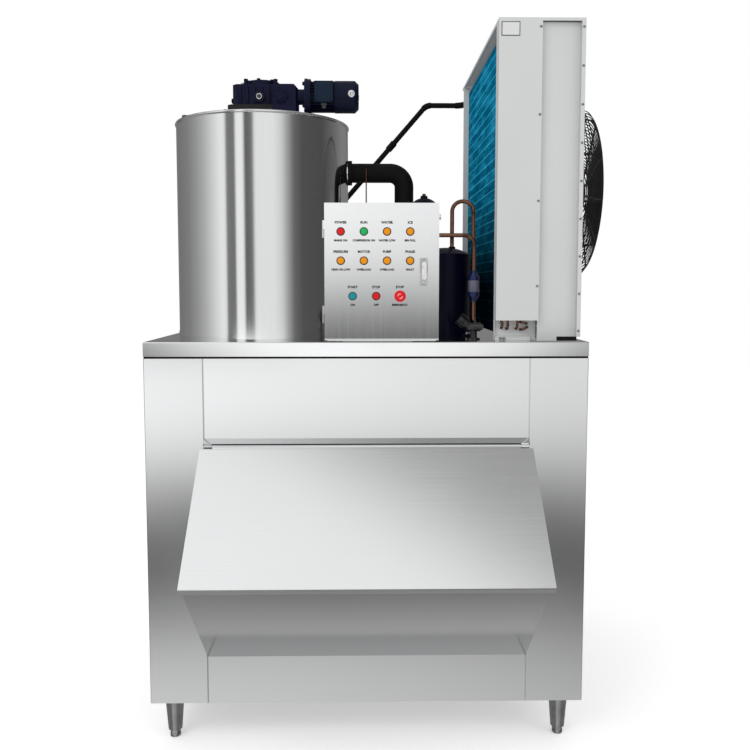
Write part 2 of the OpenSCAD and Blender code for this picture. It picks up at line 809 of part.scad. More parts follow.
module liquid_line() {
    port_y = coil_y1 + cond_sheet;
    top = [cond_x + 15, liquid_y, liquid_z];
    knee = [cond_x - 168, liquid_y, liquid_z];
    low = [liquid_x, liquid_y, liquid_low_z];
    fall = unit(low - knee);
    bend = 45;
    color("black") {
        pipe_run([
            [cond_x + 15, port_y, liquid_z], top, knee, low, [liquid_x, liquid_port_y, liquid_low_z]
        ], liquid_r, bend, 2);
        along(knee + fall * 230, fall) cylinder(h = 44, r = liquid_r + 4);
    }
}

module copper_lines() {
    top_z = deck_z + 525;
    low_z = deck_z + 35;
    cross_z = deck_z + 75;
    rear_y = coil_y1 + 38;
    sense_x = suction_x - 148;
    sense_y = drum_y - suction_r - 2.5;
    color("peru") {
        pipe_run([
            [copper_top_x, compressor_y, deck_z + compressor_h + 4], [copper_top_x, compressor_y, top_z],
            [riser_x, compressor_y, top_z], [riser_x, compressor_y, deck_z]
        ], copper_r, copper_bend);
        pipe_run([
            [receiver_x, receiver_y - receiver_r - 8, liquid_out_z], [receiver_x, drier_y, liquid_out_z],
            [drier_x, drier_y, liquid_out_z], [drier_x, drier_y, drier_z + drier_len]
        ], copper_r, copper_bend);
        pipe_run([
            [drier_x, drier_y, drier_z], [drier_x, drier_y, valve_z], [drier_x, valve_y + 26, valve_z]
        ], copper_r, copper_bend);
        pipe_run([
            [feed_x, feed_port_y, cross_z], [feed_x, feed_port_y + 60, cross_z],
            [feed_x, feed_port_y + 60, deck_z]
        ], copper_r, 30);
        pipe_run([
            [receiver_x, receiver_y + receiver_r + 8, low_z], [receiver_x, rear_y, low_z],
            [cond_x + 15, rear_y, low_z], [cond_x + 15, coil_y1, low_z]
        ], copper_r, 30);
        pipe_run([
            [sense_x, sense_y, suction_z + 12], [sense_x, sense_y, case_top - 42],
            [sense_x, case_back, case_top - 42]
        ], 2.5, 20);
    }
}

module filter_drier() {
    neck = copper_r + 3;
    color("darkblue") translate([drier_x, drier_y, drier_z]) rotate_extrude() polygon([
        [0, 0], [neck, 0], [neck, 8], [drier_r, 22], [drier_r, drier_len - 22],
        [neck, drier_len - 8], [neck, drier_len], [0, drier_len]
    ]);
}

module liquid_receiver() {
    color([0.08, 0.09, 0.12]) translate([receiver_x, receiver_y, deck_z]) {
        cylinder(h = 10, r = receiver_r + 10);
        translate([0, 0, 9]) domed(receiver_h - 9, receiver_r, 1.4 * receiver_r);
        translate([0, 0, liquid_out_z - deck_z]) towards_front() cylinder(h = receiver_r + 8, r = copper_r + 4);
        translate([0, 0, 35]) towards_y() cylinder(h = receiver_r + 8, r = copper_r + 4);
    }
}

module compressor() {
    foot_t = 8;
    color([0.06, 0.08, 0.18]) translate([compressor_x, compressor_y, deck_z]) {
        cylinder(h = foot_t, r = compressor_r - 4);
        for (i = [0 : 3]) rotate([0, 0, 45 + 90 * i])
            translate([compressor_r - 40, -22, 0]) cube([64, 44, foot_t]);
        translate([0, 0, foot_t - 1]) domed(compressor_h - foot_t + 1, compressor_r, 2 * compressor_r);
        translate([0, 0, compressor_h * 0.62]) cylinder(h = 12, r = compressor_r + 3);
        translate([copper_top_x - compressor_x, 0, compressor_h - 12]) cylinder(h = 16, r = copper_r + 5);
        translate([-compressor_r - 9, 0, suction_low_z - deck_z])
            towards_x() cylinder(h = 40, r = suction_r + 5);
        translate([-compressor_r * 0.9, -compressor_r - 16, compressor_h * 0.3])
            chamfered_block([54, 46, 70], 6);
    }
}

// An angle valve on a short foot, with a ribbed cap that leans to the left.
module service_valve() {
    rib_n = 14;
    cap_r = 22;
    cap_len = 34;
    color("silver") translate([valve_x, valve_y, deck_z]) {
        cylinder(h = 32, r = 13);
        cylinder(h = 5, r = 24);
        translate([-24, 0, valve_z - deck_z]) towards_x() cylinder(h = 48, r = 16);
        translate([drier_x - valve_x, 26, valve_z - deck_z])
            towards_front() cylinder(h = 26, r = copper_r + 5);
        translate([0, 0, valve_z - deck_z]) towards_x() cylinder(h = drier_x - valve_x, r = copper_r + 5);
        translate([-14, 0, valve_z - deck_z]) rotate([0, -50, 0]) {
            cylinder(h = 46, r = 12);
            translate([0, 0, 18]) cylinder(h = cap_len, r = cap_r - 3);
            for (i = [0 : rib_n - 1]) rotate([0, 0, i * 360 / rib_n])
                translate([cap_r - 5, -2, 19.5]) cube([5, 4, cap_len - 3]);
        }
    }
}

// Control box
case_pin_x = case_x - 4.5;
case_pin_y = case_front + case_door_d;
case_knuckle_r = 4;
case_pin_r = 2;
case_knuckle_h = 30;
case_hinge_z = [case_z + 60, case_top - 60 - 2 * case_knuckle_h];

module control_case() {
    inner_w = case_w - 2 * case_sheet;
    color("lightgray") difference() {
        union() {
            translate([case_x, case_shell_y, case_z]) cube([case_w, case_back - case_shell_y, case_h]);
            translate([case_x + 8, case_shell_y, deck_z])
                cube([case_w - 16, case_back - case_shell_y - 8, case_plinth_h + 1]);
            translate([case_x + case_w - 1, case_shell_y + 48, case_top - 43])
                towards_x() cylinder(h = 13, r = 9);
            for (z = case_hinge_z) {
                translate([case_pin_x, case_pin_y, z]) cylinder(h = case_knuckle_h, r = case_knuckle_r);
                translate([case_pin_x, case_pin_y, z]) cylinder(h = 2 * case_knuckle_h - 4, r = case_pin_r);
                translate([case_pin_x, case_shell_y, z]) cube([case_sheet + 6, 8, case_knuckle_h]);
            }
        }
        translate([case_x + case_sheet, case_shell_y - 1, case_z + case_sheet])
            cube([inner_w, case_back - case_shell_y - case_sheet + 1, case_h - 2 * case_sheet]);
    }
}

plate_y = case_back - case_sheet - 6;

module case_backplate() {
    margin = 22;
    color("gainsboro") {
        translate([case_x + margin, plate_y - 2, case_z + margin])
            cube([case_w - 2 * margin, 2, case_h - 2 * margin]);
        for (x = [margin + 14, case_w - margin - 14], z = [margin + 14, case_h - margin - 14])
            translate([case_x + x, plate_y - 1, case_z + z]) towards_y() cylinder(h = 7, r = 6);
    }
}

module switchgear() {
    rail_h = 35;
    rows = [case_h * 0.3, case_h * 0.66];
    unit_w = 46;
    unit_d = 52;
    face_y = plate_y - 2;
    color("dimgray") for (row = rows, i = [0 : 5])
        translate([case_x + 50 + i * (unit_w + 4), face_y, case_z + row]) {
            translate([0, -unit_d, -40]) cube([unit_w, unit_d, 80]);
            translate([6, -unit_d - 7, -rail_h / 2]) cube([unit_w - 12, 8, rail_h]);
        }
}

lamp_x = case_x + 57;
lamp_z = case_top - 99;
button_x = case_x + 98;
button_z = case_top - 323;
button_pitch = 82.5;
cap_r = bezel_r - 3;
lock_x = case_x + case_w - 53;
lock_z = case_top - 212;

// Places a device on the door's face: z points out of the door.
module on_face(x, z) translate([x, case_front, z]) towards_front() children();

module at_lamps() {
    for (row = [0, 1], i = [0 : 3])
        on_face(lamp_x + i * lamp_pitch_x, lamp_z - row * lamp_pitch_z) children();
}

module at_button(i) on_face(button_x + i * button_pitch, button_z) children();

module control_door() {
    back_y = case_front + case_door_d;
    color("whitesmoke") difference() {
        union() {
            translate([case_x, case_front, case_z]) cube([case_w, case_door_d, case_h]);
            for (z = case_hinge_z) translate([case_pin_x, case_pin_y, z + case_knuckle_h + 1]) {
                cylinder(h = case_knuckle_h, r = case_knuckle_r);
                translate([0, -case_knuckle_r, 0]) cube([6, case_knuckle_r, case_knuckle_h]);
            }
        }
        translate([case_x + case_sheet, case_front + case_sheet, case_z + case_sheet])
            cube([case_w - 2 * case_sheet, case_door_d, case_h - 2 * case_sheet]);
        for (z = case_hinge_z) translate([case_pin_x, case_pin_y, z])
            cylinder(h = 2 * case_knuckle_h + 2, r = case_pin_r + run_fit);
        for (i = [0, 1]) at_button(i) translate([0, 0, -4]) cylinder(h = 8, r = cap_r + slip);
        at_button(2) translate([0, 0, -4]) cylinder(h = 8, r = 8 + slip);
        on_face(lock_x, lock_z) translate([0, 0, -4]) cylinder(h = 8, r = 5 + run_fit);
    }
}

module ring(height, outer, inner) {
    difference() {
        rotate_extrude() polygon([
            [0, 0], [outer, 0], [outer, height - 2], [outer - 2, height], [0, height]
        ]);
        translate([0, 0, -1]) cylinder(h = height + 2, r = inner);
    }
}

module device_bezels() {
    color("silver") {
        at_lamps() ring(5, bezel_r, bezel_r - 3.5);
        for (i = [0, 1]) at_button(i) ring(7, bezel_r, cap_r + slip);
        at_button(2) ring(7, bezel_r, 8 + slip);
    }
}

lamp_colours = ["red", "limegreen", "orange", "orange", "orange", "orange", "orange", "orange"];

module lamp_lenses() {
    for (row = [0, 1], i = [0 : 3]) color(lamp_colours[row * 4 + i])
        on_face(lamp_x + i * lamp_pitch_x, lamp_z - row * lamp_pitch_z)
            domed(9, bezel_r - 3.5, 1.6 * bezel_r);
}

lock_plate_t = 3;

module lock_plate() {
    plate_w = 28;
    plate_h = 98;
    color("silver") on_face(lock_x, lock_z) difference() {
        translate([-plate_w / 2, -plate_h + 22, 0]) linear_extrude(lock_plate_t) polygon([
            [3, 0], [plate_w - 3, 0], [plate_w, 3], [plate_w, plate_h - 3], [plate_w - 3, plate_h],
            [3, plate_h], [0, plate_h - 3], [0, 3]
        ]);
        translate([0, 0, -1]) cylinder(h = lock_plate_t + 2, r = 5 + run_fit);
        translate([0, -64, -1]) cylinder(h = lock_plate_t + 2, r = 3);
    }
}

module lock_handle() {
    grip_w = 16;
    grip_len = 46;
    grip_z = lock_plate_t + slip;
    color("gainsboro") on_face(lock_x, lock_z) {
        translate([0, 0, grip_z]) cylinder(h = 9, r = grip_w / 2);
        translate([-grip_w / 2, -grip_len, grip_z]) cube([grip_w, grip_len, 9]);
        translate([0, -grip_len, grip_z]) cylinder(h = 9, r = grip_w / 2);
        translate([0, 0, -10]) cylinder(h = grip_z + 11, r = 5);
        translate([-7, -7, -10]) cube([42, 14, 3]);
    }
}

module push_cap(colour) {
    color(colour) translate([0, 0, -6]) rotate_extrude() polygon([
        [0, 0], [cap_r, 0], [cap_r, 14.5], [cap_r - 1.5, 16], [0, 16]
    ]);
}

module start_button() at_button(0) push_cap("teal");
module stop_button() at_button(1) push_cap("firebrick");

stem_len = 16;

module emergency_stem() {
    color("dimgray") at_button(2) translate([0, 0, -8]) {
        cylinder(h = 8 + stem_len, r = 8);
        translate([0, 0, 8 + stem_len - 1]) cylinder(h = 8, r = 5);
    }
}

module emergency_button() {
    head_h = 13;
    color("crimson") at_button(2) translate([0, 0, stem_len + slip]) difference() {
        rotate_extrude() polygon([
            [0, 0], [mushroom_r - 4, 0], [mushroom_r, 3], [mushroom_r, 6], [mushroom_r - 3, 10],
            [mushroom_r - 9, head_h], [0, head_h]
        ]);
        translate([0, 0, -1]) cylinder(h = 9, r = 5 + run_fit);
    }
}

// Condenser
module coil_fins() {
    y0 = coil_y + cond_sheet;
    groove = 6;
    comb = [for (i = [0 : fin_n - 1], k = [0 : 3])
        [coil_x + (k < 2 ? 0 : groove), y0 + fin_pitch * (i + [0, 0.55, 0.55, 1][k])]];
    back = [[coil_x + coil_t, y0 + fin_pitch * fin_n], [coil_x + coil_t, y0]];
    color("deepskyblue") translate([0, 0, coil_z]) linear_extrude(coil_z1 - coil_z)
        polygon(concat(comb, back));
}

module end_plate() {
    height = roof_z - deck_z;
    cube([header_w, cond_sheet, height]);
    cube([cond_sheet, 14, height]);
}

module coil_end_plates() {
    color("lightgray") {
        translate([cond_x, coil_y + cond_sheet, deck_z]) mirror([0, 1, 0]) end_plate();
        translate([cond_x, coil_y1 - cond_sheet, deck_z]) end_plate();
    }
}

// Each return bend joins two coil tubes outside an end plate.
module coil_tubes() {
    color("chocolate") for (i = [0 : bend_n - 1], column = [0.3, 0.72], end = [-1, 1]) {
        z = coil_z + tube_pitch * (2 * i + 1);
        y = end < 0 ? coil_y : coil_y1;
        translate([coil_x + column * coil_t, y, z]) rotate([0, 0, end < 0 ? 0 : 180]) {
            rotate([0, -90, 0]) rotate([0, 0, 180]) translate([0, 12, 0]) rotate([0, 0, 0])
                rotate_extrude(angle = 180) translate([tube_pitch / 2, 0]) circle(r = tube_r, $fn = 24);
            for (dz = [-1, 1]) translate([0, 0, dz * tube_pitch / 2])
                towards_front() cylinder(h = 12, r = tube_r, $fn = 24);
        }
    }
}

module header_cover() {
    height = roof_z - deck_z - header_low;
    depth = header_d - 16;
    color("white") translate([cond_x, cond_y, deck_z + header_low]) difference() {
        cube([header_w, depth, height]);
        translate([cond_sheet, cond_sheet, -1]) cube([header_w - 2 * cond_sheet, depth, height + 2]);
    }
}

flange_w = 14;
panel_recess = 20;

// One upright side panel with its folded edge, drawn for the front of the casing.
module side_panel() {
    z = deck_z + pad_h;
    height = roof_z - z;
    translate([cond_x + header_w, cond_y + panel_recess, z])
        cube([cond_w - header_w - flange_w + cond_sheet, cond_sheet, height]);
    translate([cond_x + header_w, cond_y + panel_recess, deck_z])
        cube([cond_w - header_w - pad_w - 12, cond_sheet, pad_h + 1]);
    translate([cond_x1 - flange_w, cond_y, z]) cube([cond_sheet, panel_recess + cond_sheet, height]);
    translate([cond_x1 - flange_w, cond_y, z]) cube([flange_w, cond_sheet, height]);
}

module condenser_casing() {
    pan_x = cond_x + header_w + 2;
    color("whitesmoke") {
        side_panel();
        translate([0, cond_y + cond_y1, 0]) mirror([0, 1, 0]) side_panel();
        translate([pan_x, cond_y + panel_recess, deck_z + pad_h])
            cube([cond_x1 - pan_x - flange_w + cond_sheet, cond_d - 2 * panel_recess, cond_sheet]);
    }
}

module condenser_roof() {
    color("white") translate([cond_x, cond_y, roof_z]) difference() {
        cube([cond_w, cond_d, roof_h]);
        translate([cond_sheet + 1, cond_sheet + 1, -1])
            cube([cond_w - 2 * cond_sheet - 2, cond_d - 2 * cond_sheet - 2, roof_h - cond_sheet]);
    }
}

ring_len = 45;

module at_fan(x) translate([x, fan_y, fan_z]) towards_x() children();

module fan_panel() {
    z = deck_z + pad_h;
    color("white") difference() {
        union() {
            translate([cond_x1 - cond_sheet, cond_y + cond_sheet, z])
                cube([cond_sheet, cond_d - 2 * cond_sheet, roof_z - z]);
            at_fan(cond_x1 - cond_sheet) cylinder(h = ring_len + cond_sheet, r = fan_ring_r + 4);
        }
        at_fan(cond_x1 - cond_sheet - 1) cylinder(h = ring_len + cond_sheet + 2, r = fan_ring_r);
    }
}

// The guard is a cage of wire hoops that follow a round-edged profile, carried by flat stays.
guard_edge = 40;
hoop_n = 14;
hoop_r0 = 62;
motor_plate_r = 64;
stay_t = 4;
stay_w = 8;
hoop_face_x = guard_x1 - wire_r;
function hoop_radius(i) = hoop_r0 + i * (guard_r - hoop_r0) / (hoop_n - 1);
function hoop_drop(r) = r < guard_r - guard_edge ? 0
    : guard_edge - sqrt(max(0, guard_edge * guard_edge - pow(r - guard_r + guard_edge, 2)));

module hoop(x, r) {
    at_fan(x) rotate_extrude($fn = 72) translate([r, 0]) circle(r = wire_r, $fn = 16);
}

module fan_guard() {
    stay_x = hoop_face_x - wire_r - stay_t + 0.6;
    stay_len = guard_r - guard_edge - motor_plate_r + 4;
    side_len = guard_depth - guard_edge;
    color("black") union() {
        for (i = [0 : hoop_n - 1]) hoop(hoop_face_x - hoop_drop(hoop_radius(i)), hoop_radius(i));
        for (k = [1 : 3]) hoop(cond_x1 + side_len * k / 4, guard_r);
        at_fan(stay_x) cylinder(h = stay_t + 1, r = motor_plate_r);
        for (i = [0 : stay_n - 1]) at_fan(0) rotate([0, 0, (i + 0.35) * 360 / stay_n]) {
            translate([motor_plate_r - 4, -stay_w / 2, stay_x + 0.5])
                cube([stay_len + 1, stay_w, stay_t]);
            translate([guard_r - wire_r - stay_t + 1.1, -stay_w / 2, cond_x1])
                cube([stay_t, stay_w, side_len + 1]);
            translate([guard_r - guard_edge, stay_w / 2, hoop_face_x - guard_edge]) rotate([90, 0, 0])
                linear_extrude(stay_w) intersection() {
                    difference() {
                        circle(r = guard_edge - wire_r + 0.6);
                        circle(r = guard_edge - wire_r - stay_t + 0.6);
                    }
                    square(guard_edge);
                }
        }
    }
}

motor_can_r = 53;
fan_hub_r = 60;
fan_shaft_r = 10;

module fan_motor() {
    back_x = hoop_face_x - wire_r - stay_t + 0.6;
    color("dimgray") {
        at_fan(cond_x1 + 40) cylinder(h = back_x - cond_x1 - 40, r = motor_can_r);
        at_fan(cond_x1 - 24) cylinder(h = 66, r = fan_shaft_r);
    }
}

// One cambered blade: an arc-shaped section carried out along the radius.
module fan_blade() {
    chord = 150;
    camber_r = 240;
    half = asin(chord / 2 / camber_r);
    steps = 8;
    arc = [for (i = [0 : steps]) -half + 2 * half * i / steps];
    outer = [for (a = arc) [camber_r * sin(a), camber_r * (cos(a) - cos(half))]];
    inner = [for (i = [steps : -1 : 0])
        [(camber_r - 4) * sin(arc[i]), (camber_r - 4) * cos(arc[i]) - camber_r * cos(half)]];
    rotate([0, 90, 0]) rotate([0, 0, 90]) rotate([0, 0, 28])
        linear_extrude(fan_ring_r - fan_tip_gap) polygon(concat(outer, inner));
}

module condenser_fan() {
    depth = 60;
    color([0.12, 0.12, 0.13]) at_fan(cond_x1 - 22) difference() {
        union() {
            cylinder(h = depth, r = fan_hub_r);
            intersection() {
                translate([0, 0, depth / 2 - 60]) tube(120, fan_ring_r - fan_tip_gap, fan_hub_r - 4);
                translate([0, 0, depth / 2]) for (i = [0 : blade_n - 1])
                    rotate([0, 0, i * 360 / blade_n]) fan_blade();
            }
        }
        translate([0, 0, -4]) cylinder(h = depth + 8, r = fan_shaft_r + run_fit);
    }
}

module condenser_pads() {
    pad = [pad_w, 60, pad_h];
    inner_x = cond_x + header_w + 4;
    color("black") for (end = [0, 1]) {
        translate([cond_x1 - pad.x - 8, end == 0 ? cond_y + panel_recess : cond_y1 - panel_recess - pad.y, deck_z])
            cube(pad);
        translate([inner_x, end == 0 ? cond_y + 220 : cond_y1 - 220 - pad.y, deck_z]) cube(pad);
    }
}

stood() bin_floor();
stood() bin_left_wall();
stood() bin_right_wall();
stood() bin_back_wall();
stood() upper_front_panel();
stood() lower_front_panel();
stood() hopper();
stood() hinge_rail();
stood() door_hinge_pin();
stood() deck();
stood() deck_beams();
stood() legs();
stood() foot_front_left();
stood() foot_front_right();
stood() foot_rear_left();
stood() foot_rear_right();
stood() bin_door();
stood() drum_base_ring();
stood() drum_jacket();
stood() evaporator_wall();
stood() drum_cover();
stood() lower_bearing();
stood() main_shaft();
stood() ice_blade();
stood() gearbox_stand();
stood() main_gearbox();
stood() input_gearbox();
stood() motor_frame();
stood() terminal_box();
stood() fan_cowl();
stood() suction_line();
stood() liquid_line();
stood() copper_lines();
stood() filter_drier();
stood() liquid_receiver();
stood() compressor();
stood() service_valve();
stood() control_case();
stood() case_backplate();
stood() switchgear();
stood() control_door();
stood() device_bezels();
stood() lamp_lenses();
stood() lock_plate();
stood() lock_handle();
stood() start_button();
stood() stop_button();
stood() emergency_stem();
stood() emergency_button();
stood() coil_fins();
stood() coil_end_plates();
stood() coil_tubes();
stood() header_cover();
stood() condenser_casing();
stood() condenser_roof();
stood() fan_panel();
stood() fan_guard();
stood() fan_motor();
stood() condenser_fan();
stood() condenser_pads();
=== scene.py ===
"""Looks of the flake ice machine: a finish for every solid, and the small fittings that sit on them."""

import logging
import math
from dataclasses import dataclass
from enum import Enum
from typing import Any, ClassVar, Optional, Sequence, Union

import bpy
from mathutils import Matrix, Vector


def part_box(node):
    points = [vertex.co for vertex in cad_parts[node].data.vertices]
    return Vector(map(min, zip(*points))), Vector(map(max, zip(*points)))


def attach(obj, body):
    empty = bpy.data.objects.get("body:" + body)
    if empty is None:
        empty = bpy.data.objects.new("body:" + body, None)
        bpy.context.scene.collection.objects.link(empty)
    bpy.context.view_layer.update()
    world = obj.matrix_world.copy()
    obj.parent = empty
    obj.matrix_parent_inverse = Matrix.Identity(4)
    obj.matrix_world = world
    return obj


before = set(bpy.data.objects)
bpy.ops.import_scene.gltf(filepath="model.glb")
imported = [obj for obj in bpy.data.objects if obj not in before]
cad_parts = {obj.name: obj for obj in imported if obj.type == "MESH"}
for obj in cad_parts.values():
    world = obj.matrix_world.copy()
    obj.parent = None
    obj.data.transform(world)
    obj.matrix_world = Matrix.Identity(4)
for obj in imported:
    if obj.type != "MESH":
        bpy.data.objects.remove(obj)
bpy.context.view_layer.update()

LOG = logging.getLogger("flake_ice_machine")
CABINET = "cabinet"
Colour = tuple[float, float, float]
Point = tuple[float, float, float]
Spot = Sequence[float]
Steps = Sequence[tuple[float, float]]
Piece = bpy.types.Object
PLATE_ANGLE = math.radians(35.0)
WIRE_ANGLE = math.radians(60.0)


class Facing(Enum):
    """The six ways a fitting can face, with the turn that points +Z that way."""

    FRONT = ((0.0, -1.0, 0.0), (math.pi / 2, 0.0, 0.0))
    BACK = ((0.0, 1.0, 0.0), (-math.pi / 2, 0.0, 0.0))
    LEFT = ((-1.0, 0.0, 0.0), (0.0, -math.pi / 2, 0.0))
    RIGHT = ((1.0, 0.0, 0.0), (0.0, math.pi / 2, 0.0))
    UP = ((0.0, 0.0, 1.0), (0.0, 0.0, 0.0))
    DOWN = ((0.0, 0.0, -1.0), (math.pi, 0.0, 0.0))

    @property
    def way(self) -> Vector:
        """The direction as a vector."""
        return Vector(self.value[0])

    @property
    def turn(self) -> Point:
        """The Euler turn that points +Z this way."""
        return self.value[1]


class Grain(Enum):
    """Which way the brush marks of a sheet run, as noise scales per metre."""

    UPRIGHT = (420.0, 420.0, 3.0)
    ACROSS = (3.0, 420.0, 420.0)
    DEPTH = (420.0, 3.0, 420.0)
    FINE = (160.0, 160.0, 160.0)


class Sock:
    """A node socket that takes part in Python arithmetic."""

    def __init__(self, graph: "Graph", socket: Any) -> None:
        """Keeps the graph and the output socket."""
        self.graph = graph
        self.socket = socket

    def maths(self, operation: str, other: "Value" = 0.0) -> "Sock":
        """Adds a Math node that starts from this socket.

        Args:
            operation: the node's operation.
            other: its second value.

        Returns:
            The node's result.
        """
        return self.graph.node("ShaderNodeMath", {"operation": operation}, {0: self, 1: other})

    def __add__(self, other: "Value") -> "Sock":
        """Adds."""
        return self.maths("ADD", other)

    def __sub__(self, other: "Value") -> "Sock":
        """Subtracts."""
        return self.maths("SUBTRACT", other)

    def __rsub__(self, other: "Value") -> "Sock":
        """Subtracts from a number."""
        return self.graph.node("ShaderNodeMath", {"operation": "SUBTRACT"}, {0: other, 1: self})

    def __mul__(self, other: "Value") -> "Sock":
        """Multiplies."""
        return self.maths("MULTIPLY", other)

    def __truediv__(self, other: "Value") -> "Sock":
        """Divides."""
        return self.maths("DIVIDE", other)

    __radd__ = __add__
    __rmul__ = __mul__

    def smooth(self, low: float, high: float) -> "Sock":
        """A soft step from 0 at low to 1 at high."""
        return self.graph.node(
            "ShaderNodeMapRange", {"interpolation_type": "SMOOTHSTEP"}, {0: self, 1: low, 2: high}
        )


Value = Union[Sock, float, int]


class Graph:
    """One node tree, filled by plain calls."""

    def __init__(self, tree: Any) -> None:
        """Keeps the tree and empties it."""
        self.tree = tree
        tree.nodes.clear()

    def node(
        self,
        kind: str,
        settings: Optional[dict[str, Any]] = None,
        inputs: Optional[dict[Any, Any]] = None,
        output: Union[int, str] = 0,
    ) -> Sock:
        """Adds any node.

        Args:
            kind: the node's type.
            settings: its properties, set first.
            inputs: values or links for its sockets.
            output: which output to return.

        Returns:
            That output.
        """
        made = self.tree.nodes.new(kind)
        for key, value in (settings or {}).items():
            setattr(made, key, value)
        self.feed(made, inputs or {})
        return Sock(self, made.outputs[output])

    def feed(self, made: Any, inputs: dict[Any, Any]) -> None:
        """Sets or links a node's inputs.

        Args:
            made: the node.
            inputs: socket name or number to value or Sock.
        """
        for key, value in inputs.items():
            if isinstance(value, Sock):
                self.tree.links.new(value.socket, made.inputs[key])
            else:
                made.inputs[key].default_value = value

    def ramp(self, place: Sock, stops: Steps) -> Sock:
        """A grey ramp.

        Args:
            place: the place on the ramp.
            stops: place and brightness of each stop, in order.

        Returns:
            The brightness.
        """
        made = self.node("ShaderNodeValToRGB", {}, {0: place})
        elements = made.socket.node.color_ramp.elements
        while len(elements) < len(stops):
            elements.new(1.0)
        for element, (position, grey) in zip(elements, stops):
            element.position = position
            element.color = (grey, grey, grey, 1.0)
        return made

    def coordinates(self, scale: Spot = (1.0, 1.0, 1.0)) -> Sock:
        """Object coordinates, scaled.

        Args:
            scale: factor along each axis.

        Returns:
            The scaled vector.
        """
        place = self.node("ShaderNodeTexCoord", output="Object")
        return self.node("ShaderNodeMapping", {}, {"Vector": place, "Scale": tuple(scale)})

    def axis(self, name: str) -> Sock:
        """One object coordinate, in metres."""
        return self.node("ShaderNodeSeparateXYZ", {}, {0: self.coordinates()}, output=name)

    def noise(self, scale: Spot, detail: float = 3.0, rough: float = 0.55) -> Sock:
        """Cloud noise between 0 and 1.

        Args:
            scale: features per metre along each axis.
            detail: how many octaves.
            rough: how strong the fine octaves are.

        Returns:
            The noise value.
        """
        return self.node(
            "ShaderNodeTexNoise",
            {},
            {"Vector": self.coordinates(scale), "Scale": 1.0, "Detail": detail, "Roughness": rough},
            output="Fac",
        )

    def blend(self, factor: Value, low: Any, high: Any) -> Sock:
        """Mixes two colours.

        Args:
            factor: 0 for the first colour, 1 for the second.
            low: the first colour, or a link.
            high: the second colour, or a link.

        Returns:
            The mixed colour.
        """
        return self.node(
            "ShaderNodeMix", {"data_type": "RGBA"}, {0: factor, 6: solid(low), 7: solid(high)}, output=2
        )

    def bump(self, height: Sock, strength: float, distance: float) -> Sock:
        """A normal from a height.

        Args:
            height: the height value.
            strength: the node's strength.
            distance: depth of the relief in metres.

        Returns:
            The normal.
        """
        return self.node(
            "ShaderNodeBump", {}, {"Height": height, "Strength": strength, "Distance": distance}
        )


def solid(colour: Any) -> Any:
    """Gives a plain colour its alpha, and leaves a link as it is."""
    return colour if isinstance(colour, Sock) else (*colour, 1.0)


def shade(colour: Colour, factor: float) -> Colour:
    """A lighter or darker tone of a colour."""
    return tuple(min(1.0, part * factor) for part in colour)


@dataclass(frozen=True)
class Finish:
    """A surface finish that makes its own material."""

    name: str
    tone: Colour
    rough: float = 0.4

    def material(self) -> bpy.types.Material:
        """The finish's material, made once.

        Returns:
            The material.
        """
        known = bpy.data.materials.get(self.name)
        if known:
            return known
        made = bpy.data.materials.new(self.name)
        made.use_nodes = True
        graph = Graph(made.node_tree)
        shader = made.node_tree.nodes.new("ShaderNodeBsdfPrincipled")
        output = made.node_tree.nodes.new("ShaderNodeOutputMaterial")
        made.node_tree.links.new(shader.outputs[0], output.inputs[0])
        self.dress(graph, shader)
        return made

    def dress(self, graph: Graph, shader: Any) -> None:
        """Feeds the shader; each kind of finish has its own way."""
        graph.feed(shader, {"Base Color": solid(self.tone), "Roughness": self.rough})


@dataclass(frozen=True)
class Brushed(Finish):
    """Stainless sheet with brush marks, faint smears, uneven gloss and a slight lean or bow of its skin."""

    grain: Grain = Grain.UPRIGHT
    depth: float = 0.000006
    lean: float = 0.0
    bow: float = 0.0
    level: float = 0.0

    def dress(self, graph: Graph, shader: Any) -> None:
        """Feeds the shader with brush marks."""
        marks = graph.noise(self.grain.value, 4.0, 0.62)
        smear = graph.noise((2.3, 2.3, 1.4), 3.0)
        tint = marks * 0.5 + smear * 0.5
        height = marks * self.depth
        if self.lean:
            height = height + graph.axis("Z") * self.lean
        if self.bow:
            across = graph.axis("X")
            height = height + across.maths("ABSOLUTE") * (graph.axis("Z") - self.level) * self.bow
        graph.feed(shader, {
            "Base Color": graph.blend(tint, shade(self.tone, 0.9), shade(self.tone, 1.08)),
            "Metallic": 1.0,
            "Roughness": self.rough + (marks - 0.5) * 0.08 + (smear - 0.5) * 0.06,
            "Normal": graph.bump(height, 1.0, 1.0),
        })


@dataclass(frozen=True)
class Enamel(Finish):
    """Sprayed paint with orange peel, a little dust and small marks."""

    peel: float = 0.06
    coat: float = 0.0
    dust: float = 0.06
    gloss: float = 0.4

    def dress(self, graph: Graph, shader: Any) -> None:
        """Feeds the shader with paint."""
        peel = graph.noise((520.0, 520.0, 520.0), 2.0)
        cloud = graph.noise((3.1, 3.1, 2.2), 4.0)
        marks = graph.noise((38.0, 38.0, 9.0), 5.0, 0.7).smooth(0.66, 0.8)
        worn = graph.blend(cloud, shade(self.tone, 1.0 - self.dust), shade(self.tone, 1.0 + self.dust))
        graph.feed(shader, {
            "Base Color": graph.blend(marks * 0.22, worn, shade(self.tone, 0.72)),
            "Roughness": self.rough + (cloud - 0.5) * 0.16 + marks * 0.1,
            "Coat Weight": self.coat,
            "Specular IOR Level": self.gloss,
            "Normal": graph.bump(peel, self.peel, 0.0004),
        })


